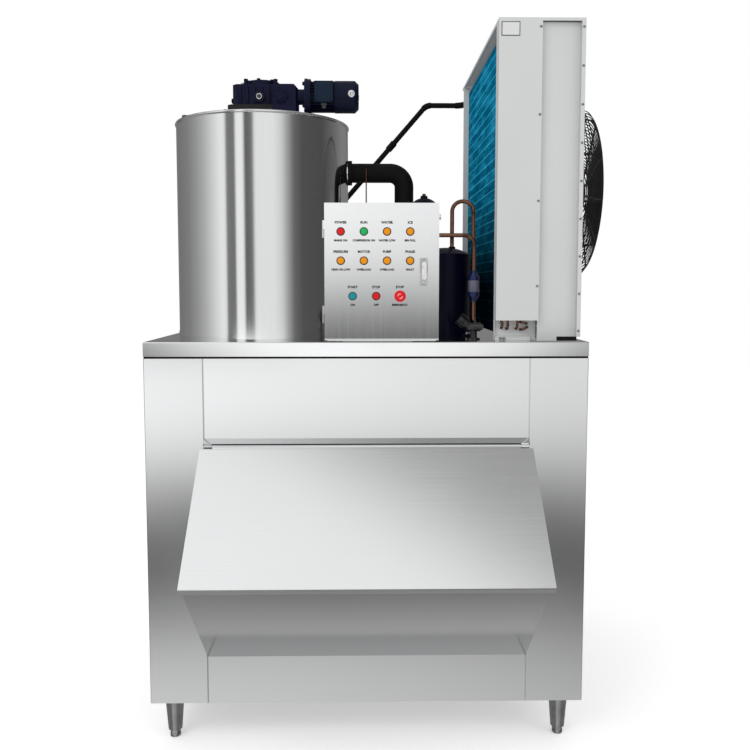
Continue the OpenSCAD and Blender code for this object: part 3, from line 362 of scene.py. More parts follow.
@dataclass(frozen=True)
class Casting(Finish):
    """Painted cast iron with a sandy skin and a few pale specks: worn spots, and on the navy casting also
    painted glints.
    """

    chip: Colour = (0.10, 0.11, 0.13)
    gloss: float = 0.3
    relief: float = 0.0012

    def dress(self, graph: Graph, shader: Any) -> None:
        """Feeds the shader with a cast skin."""
        skin = graph.noise((190.0, 190.0, 190.0), 4.0, 0.6)
        cloud = graph.noise((14.0, 14.0, 14.0), 4.0)
        chips = graph.noise((240.0, 240.0, 240.0), 4.0, 0.7).smooth(0.58, 0.74)
        paint = graph.blend(cloud, shade(self.tone, 0.7), shade(self.tone, 1.5))
        graph.feed(shader, {
            "Base Color": graph.blend(chips * 0.5, paint, self.chip),
            "Roughness": self.rough + (cloud - 0.5) * 0.2,
            "Specular IOR Level": self.gloss,
            "Normal": graph.bump(skin, 0.6, self.relief),
        })


@dataclass(frozen=True)
class Foam(Finish):
    """Closed-cell foam or rubber with a fine grain and dusty high spots."""

    grain: float = 340.0

    def dress(self, graph: Graph, shader: Any) -> None:
        """Feeds the shader with rubber."""
        cells = graph.noise((self.grain, self.grain, self.grain), 3.0)
        dust = graph.noise((7.0, 7.0, 7.0), 5.0, 0.65)
        graph.feed(shader, {
            "Base Color": graph.blend(dust.smooth(0.4, 0.8), self.tone, shade(self.tone, 1.8)),
            "Roughness": self.rough + (dust - 0.5) * 0.2,
            "Specular IOR Level": 0.12,
            "Normal": graph.bump(cells, 0.3, 0.0007),
        })


@dataclass(frozen=True)
class BareMetal(Finish):
    """Plain metal that has dulled in patches, such as copper tube or zinc plate."""

    stain: Colour = (0.2, 0.1, 0.06)
    stain_amount: float = 0.7
    spread: float = 26.0

    def dress(self, graph: Graph, shader: Any) -> None:
        """Feeds the shader with dulled metal."""
        patch = graph.noise((self.spread, self.spread, self.spread), 5.0, 0.65)
        mask = patch.smooth(0.42, 0.78)
        scratch = graph.noise((700.0, 700.0, 60.0), 2.0)
        graph.feed(shader, {
            "Base Color": graph.blend(mask * self.stain_amount, self.tone, self.stain),
            "Metallic": 1.0,
            "Roughness": self.rough + mask * 0.22 + (scratch - 0.5) * 0.08,
            "Normal": graph.bump(scratch, 0.08, 0.0002),
        })


@dataclass(frozen=True)
class FinCoat(Finish):
    """Blue coated fins: tube rows show as paler lines, random patches of painted sheen brighten them, and
    painted shade darkens the lower fins.
    """

    pale: Colour = (0.08, 0.68, 0.92)
    # Near-black tone of the painted shade on the lower fins.
    shaded_tone: Colour = (0.001, 0.005, 0.010)
    pitch: float = 0.038
    # low and high: heights between which the painted shade of the lower fins lifts to the full tone.
    low: float = 1.62
    high: float = 2.12

    def dress(self, graph: Graph, shader: Any) -> None:
        """Feeds the shader with coated fins."""
        height = graph.axis("Z")
        row = (height / self.pitch).maths("FRACT")
        line = row.smooth(0.76, 0.84) - row.smooth(0.87, 0.94)
        # Painted shade: the fins get darker towards the bottom, blending down to the near-black shaded tone.
        shade_by_height = height.smooth(self.low, self.high)
        # Painted sheen: random noise patches brighten the fins.
        streak = graph.noise((14.0, 5.0, 26.0), 5.0, 0.7)
        shine = streak.smooth(0.4, 0.72)
        body = graph.blend(shade_by_height * (shine * 0.6 + 0.55), self.shaded_tone, self.tone)
        graph.feed(shader, {
            "Base Color": graph.blend((line * 0.6 + shine * 0.2) * (shade_by_height * 0.9 + 0.04), body, self.pale),
            "Roughness": self.rough + (streak - 0.5) * 0.2,
            "Specular IOR Level": 0.0,
            "Normal": graph.bump(line, 0.3, 0.001),
        })


@dataclass(frozen=True)
class Plastic(Finish):
    """Moulded plastic, gloss or matt, with a fine spark texture."""

    gloss: float = 0.25
    spark: float = 900.0

    def dress(self, graph: Graph, shader: Any) -> None:
        """Feeds the shader with plastic."""
        grain = graph.noise((self.spark, self.spark, self.spark), 2.0)
        cloud = graph.noise((60.0, 60.0, 60.0), 3.0)
        graph.feed(shader, {
            "Base Color": graph.blend(cloud, shade(self.tone, 0.85), shade(self.tone, 1.15)),
            "Roughness": self.rough + (cloud - 0.5) * 0.1,
            "Specular IOR Level": self.gloss,
            "Normal": graph.bump(grain, 0.05, 0.0002),
        })


@dataclass(frozen=True)
class LampLenses(Finish):
    """Lenses of one solid, red and green at the left of the upper row and the plain tone elsewhere."""

    first: Colour = (0.62, 0.012, 0.012)
    second: Colour = (0.01, 0.40, 0.10)
    node: str = "lamp_lenses"

    def dress(self, graph: Graph, shader: Any) -> None:
        """Feeds the shader with a colour for each lens."""
        low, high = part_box(self.node)
        across, height = graph.axis("X"), graph.axis("Z")
        upper = height.maths("GREATER_THAN", (low.z + high.z) / 2)
        one = across.maths("LESS_THAN", low.x + 0.2 * (high.x - low.x))
        two = across.maths("LESS_THAN", low.x + 0.5 * (high.x - low.x))
        ridge = graph.noise((240.0, 240.0, 240.0), 2.0)
        colour = graph.blend(upper * one, graph.blend(upper * two, self.tone, self.second), self.first)
        graph.feed(shader, {
            "Base Color": colour,
            "Roughness": self.rough + (ridge - 0.5) * 0.1,
            "Specular IOR Level": 0.2,
        })


@dataclass(frozen=True)
class PaleFloor(Finish):
    """A pale studio floor that stays almost white, with a soft shadow under the machine."""

    lift: float = 0.36

    def dress(self, graph: Graph, shader: Any) -> None:
        """Feeds the shader with an even pale floor."""
        cloud = graph.noise((0.7, 0.7, 0.7), 2.0)
        graph.feed(shader, {
            "Base Color": graph.blend(cloud, shade(self.tone, 0.99), shade(self.tone, 1.01)),
            "Roughness": self.rough,
            "Emission Color": solid((1.0, 1.0, 1.0)),
            "Emission Strength": self.lift,
            "Specular IOR Level": 0.0,
        })


STEEL: Colour = (0.70, 0.705, 0.71)
SHEET = Brushed("bin_sheet", STEEL, 0.13, Grain.ACROSS)
SIDE_SHEET = Brushed("side_sheet", STEEL, 0.15, Grain.DEPTH)
DECK_SHEET = Brushed("deck_sheet", shade(STEEL, 1.15), 0.12, Grain.ACROSS, bow=0.118, level=1.427)
DOOR_SHEET = Brushed("door_sheet", shade(STEEL, 1.06), 0.16, Grain.ACROSS)
DRUM_SHEET = Brushed("drum_sheet", shade(STEEL, 1.06), 0.09, Grain.UPRIGHT)
PANEL = Brushed("control_box_sheet", shade(STEEL, 1.08), 0.13, Grain.UPRIGHT, lean=0.112)
INNER_SHEET = Brushed("inner_sheet", shade(STEEL, 0.9), 0.35, Grain.FINE)
MACHINED = BareMetal("machined_steel", (0.50, 0.505, 0.51), 0.22, (0.25, 0.245, 0.24), 0.5)
# A darker copy of the machined steel: painted shade for the dark reflections on the legs and feet.
SHADED_LEG_STEEL = BareMetal("shaded_leg_steel", (0.34, 0.345, 0.35), 0.16, (0.2, 0.2, 0.2), 0.5)
WHITE = Enamel("white_powder_coat", (0.54, 0.55, 0.55), 0.4, 0.05)
PLATE_WHITE = Enamel("end_plate_coat", (0.62, 0.63, 0.63), 0.4, 0.05)
# Its pale blue chip colour paints specks that are partly worn spots and partly painted glints on the cast
# skin.
NAVY = Casting("navy_casting", (0.003, 0.004, 0.022), 0.42, (0.05, 0.055, 0.14), 0.16, 0.003)
MOTOR_NAVY = Casting("navy_motor_paint", (0.002, 0.004, 0.016), 0.4, (0.01, 0.014, 0.04), 0.14)
LID_NAVY = Enamel("terminal_lid_paint", (0.002, 0.010, 0.026), 0.36, gloss=0.2)
BLACK = Casting("black_casting", (0.008, 0.008, 0.009), 0.5)
DARK_SHELL = Enamel("dark_shell_paint", (0.001, 0.0014, 0.014), 0.28, 0.1, 0.0, 0.2, 0.08)
BLACK_WIRE = Enamel("black_wire_coat", (0.006, 0.006, 0.007), 0.35, 0.08, gloss=0.25)
DRIER_BLUE = Enamel("drier_paint", (0.005, 0.018, 0.13), 0.3, 0.08, 0.1)
FOAM = Foam("pipe_insulation", (0.004, 0.004, 0.0045), 0.6)
RUBBER = Foam("moulded_rubber", (0.008, 0.008, 0.008), 0.6, 500.0)
COPPER = BareMetal("copper_tube", (0.19, 0.095, 0.062), 0.15, (0.03, 0.02, 0.016), 0.85)
BRIGHT = BareMetal("bright_plate", (0.78, 0.78, 0.77), 0.16, (0.5, 0.49, 0.47), 0.4, 60.0)
DARK_METAL = BareMetal("dark_metal", (0.06, 0.06, 0.062), 0.26, (0.015, 0.015, 0.016), 0.9, 60.0)
ZINC = BareMetal("zinc_plate", (0.34, 0.345, 0.35), 0.36, (0.20, 0.205, 0.21), 0.7, 90.0)
GREY_PAINT = Enamel("grey_paint", (0.42, 0.43, 0.44), 0.45)
MOTOR_GREY = Casting("fan_motor_casting", (0.03, 0.03, 0.033), 0.45)
FINS = FinCoat("fin_coating", (0.003, 0.22, 0.41), 0.5)
DARK_PLASTIC = Plastic("dark_plastic", (0.012, 0.012, 0.014), 0.45)
LEGEND_INK = Plastic("legend_ink", (0.01, 0.01, 0.011), 0.7)
WHITE_INK = Plastic("white_ink", (0.85, 0.85, 0.85), 0.5)
LENSES = LampLenses("lamp_lens_plastic", (0.72, 0.26, 0.006), 0.3)
TEAL_CAP = Plastic("teal_cap", (0.006, 0.24, 0.29), 0.3)
RED_CAP = Plastic("red_cap", (0.55, 0.006, 0.008), 0.3)
RED_HEAD = Plastic("red_head", (0.66, 0.006, 0.012), 0.3)
PALE_PLATE = Enamel("blank_plate", (0.60, 0.60, 0.605), 0.35)
GREY_LABEL = Enamel("drier_label_print", (0.26, 0.27, 0.36), 0.4)

FINISHES: dict[Finish, str] = {
    SHEET: "upper_front_panel lower_front_panel bin_back_wall hopper hinge_rail",
    DECK_SHEET: "deck",
    SIDE_SHEET: "bin_left_wall bin_right_wall",
    DOOR_SHEET: "bin_door",
    DRUM_SHEET: "drum_jacket drum_cover drum_base_ring",
    INNER_SHEET: "bin_floor evaporator_wall ice_blade",
    SHADED_LEG_STEEL: "legs foot_front_left foot_front_right foot_rear_left foot_rear_right",
    WHITE: "header_cover condenser_casing condenser_roof fan_panel",
    PANEL: "control_case control_door",
    NAVY: "main_gearbox input_gearbox",
    MOTOR_NAVY: "motor_frame terminal_box fan_cowl",
    BLACK: "gearbox_stand lower_bearing",
    DARK_SHELL: "compressor liquid_receiver",
    BLACK_WIRE: "fan_guard condenser_fan",
    DRIER_BLUE: "filter_drier",
    FOAM: "suction_line liquid_line",
    RUBBER: "condenser_pads",
    COPPER: "copper_lines coil_tubes",
    BRIGHT: "lock_handle",
    MACHINED: "main_shaft door_hinge_pin lock_plate",
    DARK_METAL: "device_bezels service_valve",
    PLATE_WHITE: "coil_end_plates",
    ZINC: "case_backplate",
    GREY_PAINT: "deck_beams",
    MOTOR_GREY: "fan_motor",
    FINS: "coil_fins",
    DARK_PLASTIC: "switchgear emergency_stem",
    LENSES: "lamp_lenses",
    TEAL_CAP: "start_button",
    RED_CAP: "stop_button",
    RED_HEAD: "emergency_button",
}


class Bench:
    """Blender's modelling operators, used on one piece at a time."""

    @staticmethod
    def clear() -> None:
        """Leaves edit mode and deselects everything."""
        active = bpy.context.view_layer.objects.active
        if active and active.mode != "OBJECT":
            bpy.ops.object.mode_set(mode="OBJECT")
        bpy.ops.object.select_all(action="DESELECT")

    @staticmethod
    def settle(name: str, smooth: float = PLATE_ANGLE) -> Piece:
        """Names the active piece, puts its place into its mesh and smooths it.

        Args:
            name: the piece's name.
            smooth: the sharpest angle that is smoothed.

        Returns:
            The piece.
        """
        piece = bpy.context.view_layer.objects.active
        piece.name = name
        piece.data.name = name
        bpy.ops.object.transform_apply(location=True, rotation=True, scale=True)
        bpy.ops.object.shade_smooth_by_angle(angle=smooth)
        return piece

    @staticmethod
    def pick(piece: Piece, way: Vector) -> None:
        """Selects the faces that lie furthest along a direction and face it, in edit mode.

        Args:
            piece: the mesh object, in object mode.
            way: the direction.
        """
        mesh = piece.data
        facing = [face for face in mesh.polygons if face.normal.dot(way) > 0.95]
        reach = max(face.center.dot(way) for face in facing)
        for item in (*mesh.vertices, *mesh.edges, *mesh.polygons):
            item.select = False
        for face in facing:
            face.select = face.center.dot(way) > reach - 1e-5
        bpy.ops.object.mode_set(mode="EDIT")
        bpy.ops.mesh.select_mode(type="FACE")

    @classmethod
    def step_face(cls, piece: Piece, way: Vector, steps: Steps) -> None:
        """Insets the outermost face again and again, each time raised or sunk.

        Args:
            piece: the mesh object.
            way: which face.
            steps: inset and rise of each step, in metres.
        """
        cls.pick(piece, way)
        for inset, rise in steps:
            bpy.ops.mesh.inset(thickness=inset, depth=rise, use_even_offset=True)
        bpy.ops.object.mode_set(mode="OBJECT")

    @staticmethod
    def modify(piece: Piece, kind: str, settings: dict[str, float]) -> None:
        """Adds a modifier to the active piece and applies it.

        Args:
            piece: the active piece.
            kind: the modifier's type.
            settings: its properties.
        """
        modifier = piece.modifiers.new(kind.lower(), kind)
        for key, value in settings.items():
            setattr(modifier, key, value)
        bpy.ops.object.modifier_apply(modifier=modifier.name)

    @classmethod
    def turned(
        cls, name: str, radius: float, depth: float, steps: Steps, at: Spot, facing: Facing, sides: int = 24
    ) -> Piece:
        """A turned or hexagonal fitting: a disc whose outer face is stepped.

        Args:
            name: the piece's name.
            radius: radius of the disc.
            depth: thickness of the disc.
            steps: inset and rise of each step on its outer face.
            at: the centre of its seat.
            facing: which way it faces.
            sides: number of sides, 6 for a hexagon.

        Returns:
            The piece.
        """
        cls.clear()
        centre = Vector(at) + facing.way * (depth / 2)
        bpy.ops.mesh.primitive_cylinder_add(
            vertices=sides, radius=radius, depth=depth, location=centre, rotation=facing.turn
        )
        piece = cls.settle(name)
        cls.step_face(piece, facing.way, steps)
        return piece

    @classmethod
    def slab(cls, name: str, low: Spot, high: Spot, bevel: float, steps: Steps = ()) -> Piece:
        """A plate or block with rounded edges, and steps on its front face.

        Args:
            name: the piece's name.
            low: its lowest corner.
            high: its highest corner.
            bevel: radius of its edges.
            steps: inset and rise of each step.

        Returns:
            The piece.
        """
        cls.clear()
        size = Vector(high) - Vector(low)
        bpy.ops.mesh.primitive_cube_add(size=1.0, location=(Vector(low) + Vector(high)) / 2, scale=size)
        piece = cls.settle(name)
        if steps:
            cls.step_face(piece, Facing.FRONT.way, steps)
        cls.modify(piece, "BEVEL", {"width": bevel, "segments": 2})
        bpy.ops.object.shade_smooth_by_angle(angle=PLATE_ANGLE)
        return piece

    @classmethod
    def band(
        cls, name: str, radius: float, wall: float, height: float, at: Spot, facing: Facing = Facing.UP
    ) -> Piece:
        """An open band of sheet or foam round a pipe or shell.

        Args:
            name: the piece's name.
            radius: its inner radius.
            wall: thickness of the sheet.
            height: its height.
            at: its centre.
            facing: which way its axis lies.

        Returns:
            The piece.
        """
        cls.clear()
        bpy.ops.mesh.primitive_cylinder_add(
            vertices=64, radius=radius + wall, depth=height, end_fill_type="NOTHING",
            location=at, rotation=facing.turn,
        )
        piece = cls.settle(name)
        cls.modify(piece, "SOLIDIFY", {"thickness": wall, "offset": -1.0})
        cls.modify(piece, "BEVEL", {"width": wall * 0.3})
        return piece

    @classmethod
    def hoop(cls, name: str, radius: float, wire: float, at: Spot, facing: Facing) -> Piece:
        """A closed ring of wire.

        Args:
            name: the piece's name.
            radius: radius of the ring.
            wire: radius of the wire.
            at: its centre.
            facing: which way its axis lies.

        Returns:
            The piece.
        """
        cls.clear()
        bpy.ops.curve.primitive_bezier_circle_add(radius=radius, location=at, rotation=facing.turn)
        curve = bpy.context.view_layer.objects.active.data
        curve.bevel_depth = wire
        curve.bevel_resolution = 2
        curve.resolution_u = 20
        bpy.ops.object.convert(target="MESH")
        return cls.settle(name, WIRE_ANGLE)

    @classmethod
    def tube(cls, name: str, points: Sequence[Spot], radius: float) -> Piece:
        """A smooth bent tube along points, as a closed mesh.

        Args:
            name: the piece's name.
            points: the points that it follows.
            radius: its radius.

        Returns:
            The piece.
        """
        cls.clear()
        curve = bpy.data.curves.new(name, "CURVE")
        curve.dimensions = "3D"
        curve.bevel_depth = radius
        curve.bevel_resolution = 3
        curve.resolution_u = 10
        curve.use_fill_caps = True
        spline = curve.splines.new("NURBS")
        spline.points.add(len(points) - 1)
        for knot, point in zip(spline.points, points):
            knot.co = (*point, 1.0)
        spline.use_endpoint_u = True
        spline.order_u = 4
        piece = bpy.data.objects.new(name, curve)
        bpy.context.scene.collection.objects.link(piece)
        piece.select_set(True)
        bpy.context.view_layer.objects.active = piece
        bpy.ops.object.convert(target="MESH")
        return cls.settle(name, WIRE_ANGLE)

    @classmethod
    def lettering(cls, name: str, words: str, height: float, at: Spot) -> Piece:
        """Flat words that face the front, as a mesh.

        Args:
            name: the piece's name.
            words: what they say.
            height: height of the letters.
            at: the middle of the words.

        Returns:
            The piece.
        """
        cls.clear()
        bpy.ops.object.text_add(location=at, rotation=Facing.FRONT.turn)
        text = bpy.context.view_layer.objects.active.data
        text.body = words
        text.size = height
        text.align_x = "CENTER"
        text.align_y = "CENTER"
        text.extrude = 0.00012
        text.offset = 0.0006
        text.resolution_u = 2
        bpy.ops.object.convert(target="MESH")
        return cls.settle(name)

    @classmethod
    def joined(cls, name: str, parts: Sequence[Piece]) -> Piece:
        """Joins parts into one piece.

        Args:
            name: the piece's name.
            parts: the parts, of which the first stays.

        Returns:
            The piece.
        """
        cls.clear()
        for part in parts:
            part.select_set(True)
        bpy.context.view_layer.objects.active = parts[0]
        bpy.ops.object.join()
        parts[0].name = name
        parts[0].data.name = name
        return parts[0]

    @staticmethod
    def twin(piece: Piece, move: Matrix) -> Piece:
        """A copy of a piece, with a mesh of its own that is moved.

        Args:
            piece: the piece to copy.
            move: how the copy's mesh is moved.

        Returns:
            The copy.
        """
        made = piece.copy()
        made.data = piece.data.copy()
        made.data.transform(move)
        bpy.context.scene.collection.objects.link(made)
        return made

    @classmethod
    def spread(cls, piece: Piece, places: Sequence[Spot]) -> Piece:
        """Copies a fitting from the first of its places to the others, and joins them all.

        Args:
            piece: the fitting at the first place.
            places: all its places.

        Returns:
            The joined piece.
        """
        first = Vector(places[0])
        twins = [cls.twin(piece, Matrix.Translation(Vector(spot) - first)) for spot in places[1:]]
        return cls.joined(piece.name, [piece, *twins])


def place(piece: Piece, body: str, finish: Finish, slot: str) -> Piece:
    """Gives a new piece its finish and lets it ride on a body.

    Args:
        piece: the piece.
        body: the body that carries it.
        finish: its finish.
        slot: the record's slot that it goes with; not used.

    Returns:
        The piece.
    """
    piece.data.materials.clear()
    piece.data.materials.append(finish.material())
    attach(piece, body)
    LOG.info("%s rides on %s", piece.name, body)
    return piece


def middle(node: str) -> Vector:
    """The middle of a solid's box."""
    low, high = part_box(node)
    return (low + high) / 2


def about(point: Vector, angle: float, axis: str) -> Matrix:
    """A turn about a point.

    Args:
        point: the point that stays.
        angle: the angle in radians.
        axis: the axis of the turn.

    Returns:
        The matrix.
    """
    return Matrix.Translation(point) @ Matrix.Rotation(angle, 4, axis) @ Matrix.Translation(-point)


def spaced(first: float, last: float, count: int) -> list[float]:
    """Evenly spaced numbers from the first to the last."""
    return [first + i * (last - first) / (count - 1) for i in range(count)]


def ring_places(centre: Spot, radius: float, count: int, facing: Facing, start: float = 0.0) -> list[Vector]:
    """Places on a circle that lies across a direction.

    Args:
        centre: the circle's centre.
        radius: its radius.
        count: how many places.
        facing: the circle's normal.
        start: angle of the first place in degrees.

    Returns:
        The places.
    """
    turn = Facing.UP.way.rotation_difference(facing.way).to_matrix()
    angles = [math.radians(start + 360.0 * i / count) for i in range(count)]
    return [Vector(centre) + turn @ Vector((math.cos(a), math.sin(a), 0.0)) * radius for a in angles]


@dataclass(frozen=True)
class TurnedPart:
    """A plug, glass or gland on the cabinet: a round or hexagonal disc whose outer face is stepped."""

    name: str
    radius: float
    depth: float
    steps: Steps
    finish: Finish
    slot: str
    sides: int = 24

    def add(self, at: Spot, facing: Facing) -> None:
        """Makes the part on its seat.

        Args:
            at: the centre of its seat.
            facing: which way it faces.
        """
        piece = Bench.turned(self.name, self.radius, self.depth, self.steps, at, facing, self.sides)
        place(piece, CABINET, self.finish, self.slot)


@dataclass(frozen=True)
class Fasteners:
    """A row or ring of equal bolts or screws, whose size is the radius of a head."""

    name: str
    places: Sequence[Spot]
    size: float
    facing: Facing
    finish: Finish
    body: str = CABINET

    HEX_HEAD: ClassVar[Steps] = ((0.0012, 0.0008), (0.002, 0.0))
    HEX_DEPTH: ClassVar[float] = 0.75
    WASHER_R: ClassVar[float] = 1.25
    WASHER_DEPTH: ClassVar[float] = 0.22
    WASHER_EDGE: ClassVar[tuple[float, float]] = (0.12, 0.04)
    PAN_HEAD: ClassVar[Steps] = ((0.0008, 0.0009), (0.0011, 0.0005), (0.0009, 0.0), (0.0002, -0.0008))
    PAN_SIZE: ClassVar[float] = 0.0038
    PAN_DEPTH: ClassVar[float] = 0.3

    def bolts(self) -> None:
        """Makes hexagon bolts on washers."""
        size, facing, seat = self.size, self.facing, Vector(self.places[0])
        raised = seat + facing.way * size * 0.2
        head = Bench.turned(self.name, size, size * self.HEX_DEPTH, self.HEX_HEAD, raised, facing, 6)
        edge = [tuple(part * size for part in self.WASHER_EDGE)]
        washer = Bench.turned(
            self.name + "_washer", size * self.WASHER_R, size * self.WASHER_DEPTH, edge, seat, facing, 18
        )
        self.set_out(Bench.joined(self.name, [head, washer]))

    def screws(self) -> None:
        """Makes pan-head screws with a driver recess."""
        grow = self.size / self.PAN_SIZE
        steps = [(inset * grow, rise * grow) for inset, rise in self.PAN_HEAD]
        depth = self.size * self.PAN_DEPTH
        self.set_out(Bench.turned(self.name, self.size, depth, steps, self.places[0], self.facing, 14))

    def set_out(self, first: Piece) -> None:
        """Copies the first fastener to every place.

        Args:
            first: the fastener at the first place.
        """
        place(Bench.spread(first, self.places), self.body, self.finish, "bright_metal")


@dataclass
class IceBin:
    """The bin's trim: a black rubber strip under the deck, whose black also paints the shade of the recess
    there.
    """

    seal_set_back: float = 0.0015
    seal_width: float = 0.0044
    seal_height: float = 0.007
    seal_gap: float = 0.0002

    def build(self) -> None:
        """Makes a black rubber strip that fills the recess between the deck and the walls; its black also
        stands in for the shade in that recess.
        """
        low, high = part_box("deck")
        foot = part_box("bin_left_wall")[1].z + self.seal_gap
        rise = self.seal_height - 2 * self.seal_gap
        Bench.clear()
        bpy.ops.mesh.primitive_plane_add(size=1.0)
        sheet = bpy.context.view_layer.objects.active
        sheet.scale = (high.x - low.x - 2 * self.seal_set_back, high.y - low.y - 2 * self.seal_set_back, 1.0)
        sheet.location = ((low.x + high.x) / 2, (low.y + high.y) / 2, foot)
        piece = Bench.settle("deck_seal_shade_strip")
        Bench.pick(piece, Facing.UP.way)
        bpy.ops.mesh.inset(thickness=self.seal_width, depth=0.0)
        bpy.ops.mesh.delete(type="FACE")
        bpy.ops.mesh.select_all(action="SELECT")
        bpy.ops.mesh.extrude_region_move(TRANSFORM_OT_translate={"value": (0, 0, rise)})
        bpy.ops.mesh.select_all(action="SELECT")
        bpy.ops.mesh.normals_make_consistent(inside=False)
        bpy.ops.object.mode_set(mode="OBJECT")
        place(piece, CABINET, RUBBER, "pad_rubber")


COVER_PLUG = TurnedPart(
    "cover_plug", 0.014, 0.004, ((0.001, 0.001), (0.0, 0.012), (0.0016, 0.003), (0.004, 0.001)),
    DARK_PLASTIC, "dark_plastic",
)


@dataclass
class IceDrum:
    """The drum's small fittings: a plug and bolts on its cover, and the jacket's weld seam."""

    rim_rise: float = 0.002
    plug_angle: float = 205.0
    plug_inset: float = 0.03
    bolt_count: int = 12
    bolt_start: float = 12.0
    bolt_inset: float = 0.022
    bolt_size: float = 0.0065
    seam_angle: float = 70.0
    seam_inset: float = 0.002
    seam_half: float = 0.004
    seam_sunk: float = 0.0015
    seam_proud: float = 0.0012
    seam_edge: float = 0.0006

    def build(self) -> None:
        """Makes the drum's fittings."""
        low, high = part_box("drum_base_ring")
        axis = (low + high) / 2
        radius = (high.y - low.y) / 2
        top = Vector((axis.x, axis.y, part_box("drum_cover")[1].z - self.rim_rise))
        seat = ring_places(top, radius - self.plug_inset, 1, Facing.UP, self.plug_angle)[0]
        COVER_PLUG.add(seat, Facing.UP)
        self.seam(Vector((axis.x, axis.y, 0.0)), radius - self.seam_inset)
        bolts = ring_places(top, radius - self.bolt_inset, self.bolt_count, Facing.UP, self.bolt_start)
        Fasteners("cover_bolts", bolts, self.bolt_size, Facing.UP, ZINC).bolts()

    def seam(self, axis: Vector, radius: float) -> None:
        """The raised weld seam down the jacket's back.

        Args:
            axis: the drum's axis at floor level.
            radius: how far the seam lies from it.
        """
        low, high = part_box("drum_jacket")
        seat = ring_places(axis, radius, 1, Facing.UP, self.seam_angle)[0]
        start = (seat.x - self.seam_half, seat.y - self.seam_sunk, low.z + self.seam_inset)
        end = (seat.x + self.seam_half, seat.y + self.seam_proud, high.z - self.seam_inset)
        piece = Bench.slab("jacket_seam", start, end, self.seam_edge)
        piece.data.transform(about(seat, math.radians(self.seam_angle - 90.0), "Z"))
        place(piece, CABINET, SHEET, "stainless")


SIGHT_GLASS = TurnedPart("sight_glass", 0.0071, 0.002, ((0.002, 0.0006),), DARK_PLASTIC, "dark_plastic")
BREATHER = TurnedPart(
    "breather_plug", 0.011, 0.006, ((0.001, 0.001), (0.003, 0.0), (0.0, 0.009), (0.0015, 0.0015)),
    BRIGHT, "bright_metal", 6,
)
GLAND = TurnedPart(
    "cable_gland", 0.012, 0.007,
    ((0.001, 0.001), (0.002, 0.0), (0.0, 0.007), (0.002, 0.003), (0.002, -0.004)),
    DARK_PLASTIC, "dark_plastic", 6,
)
SIDE_FITTING = TurnedPart(
    "side_fitting", 0.013, 0.003,
    ((0.002, 0.0015), (0.003, 0.0), (0.0, 0.003), (0.002, 0.001), (0.003, -0.002)),
    BRIGHT, "bright_metal",
)


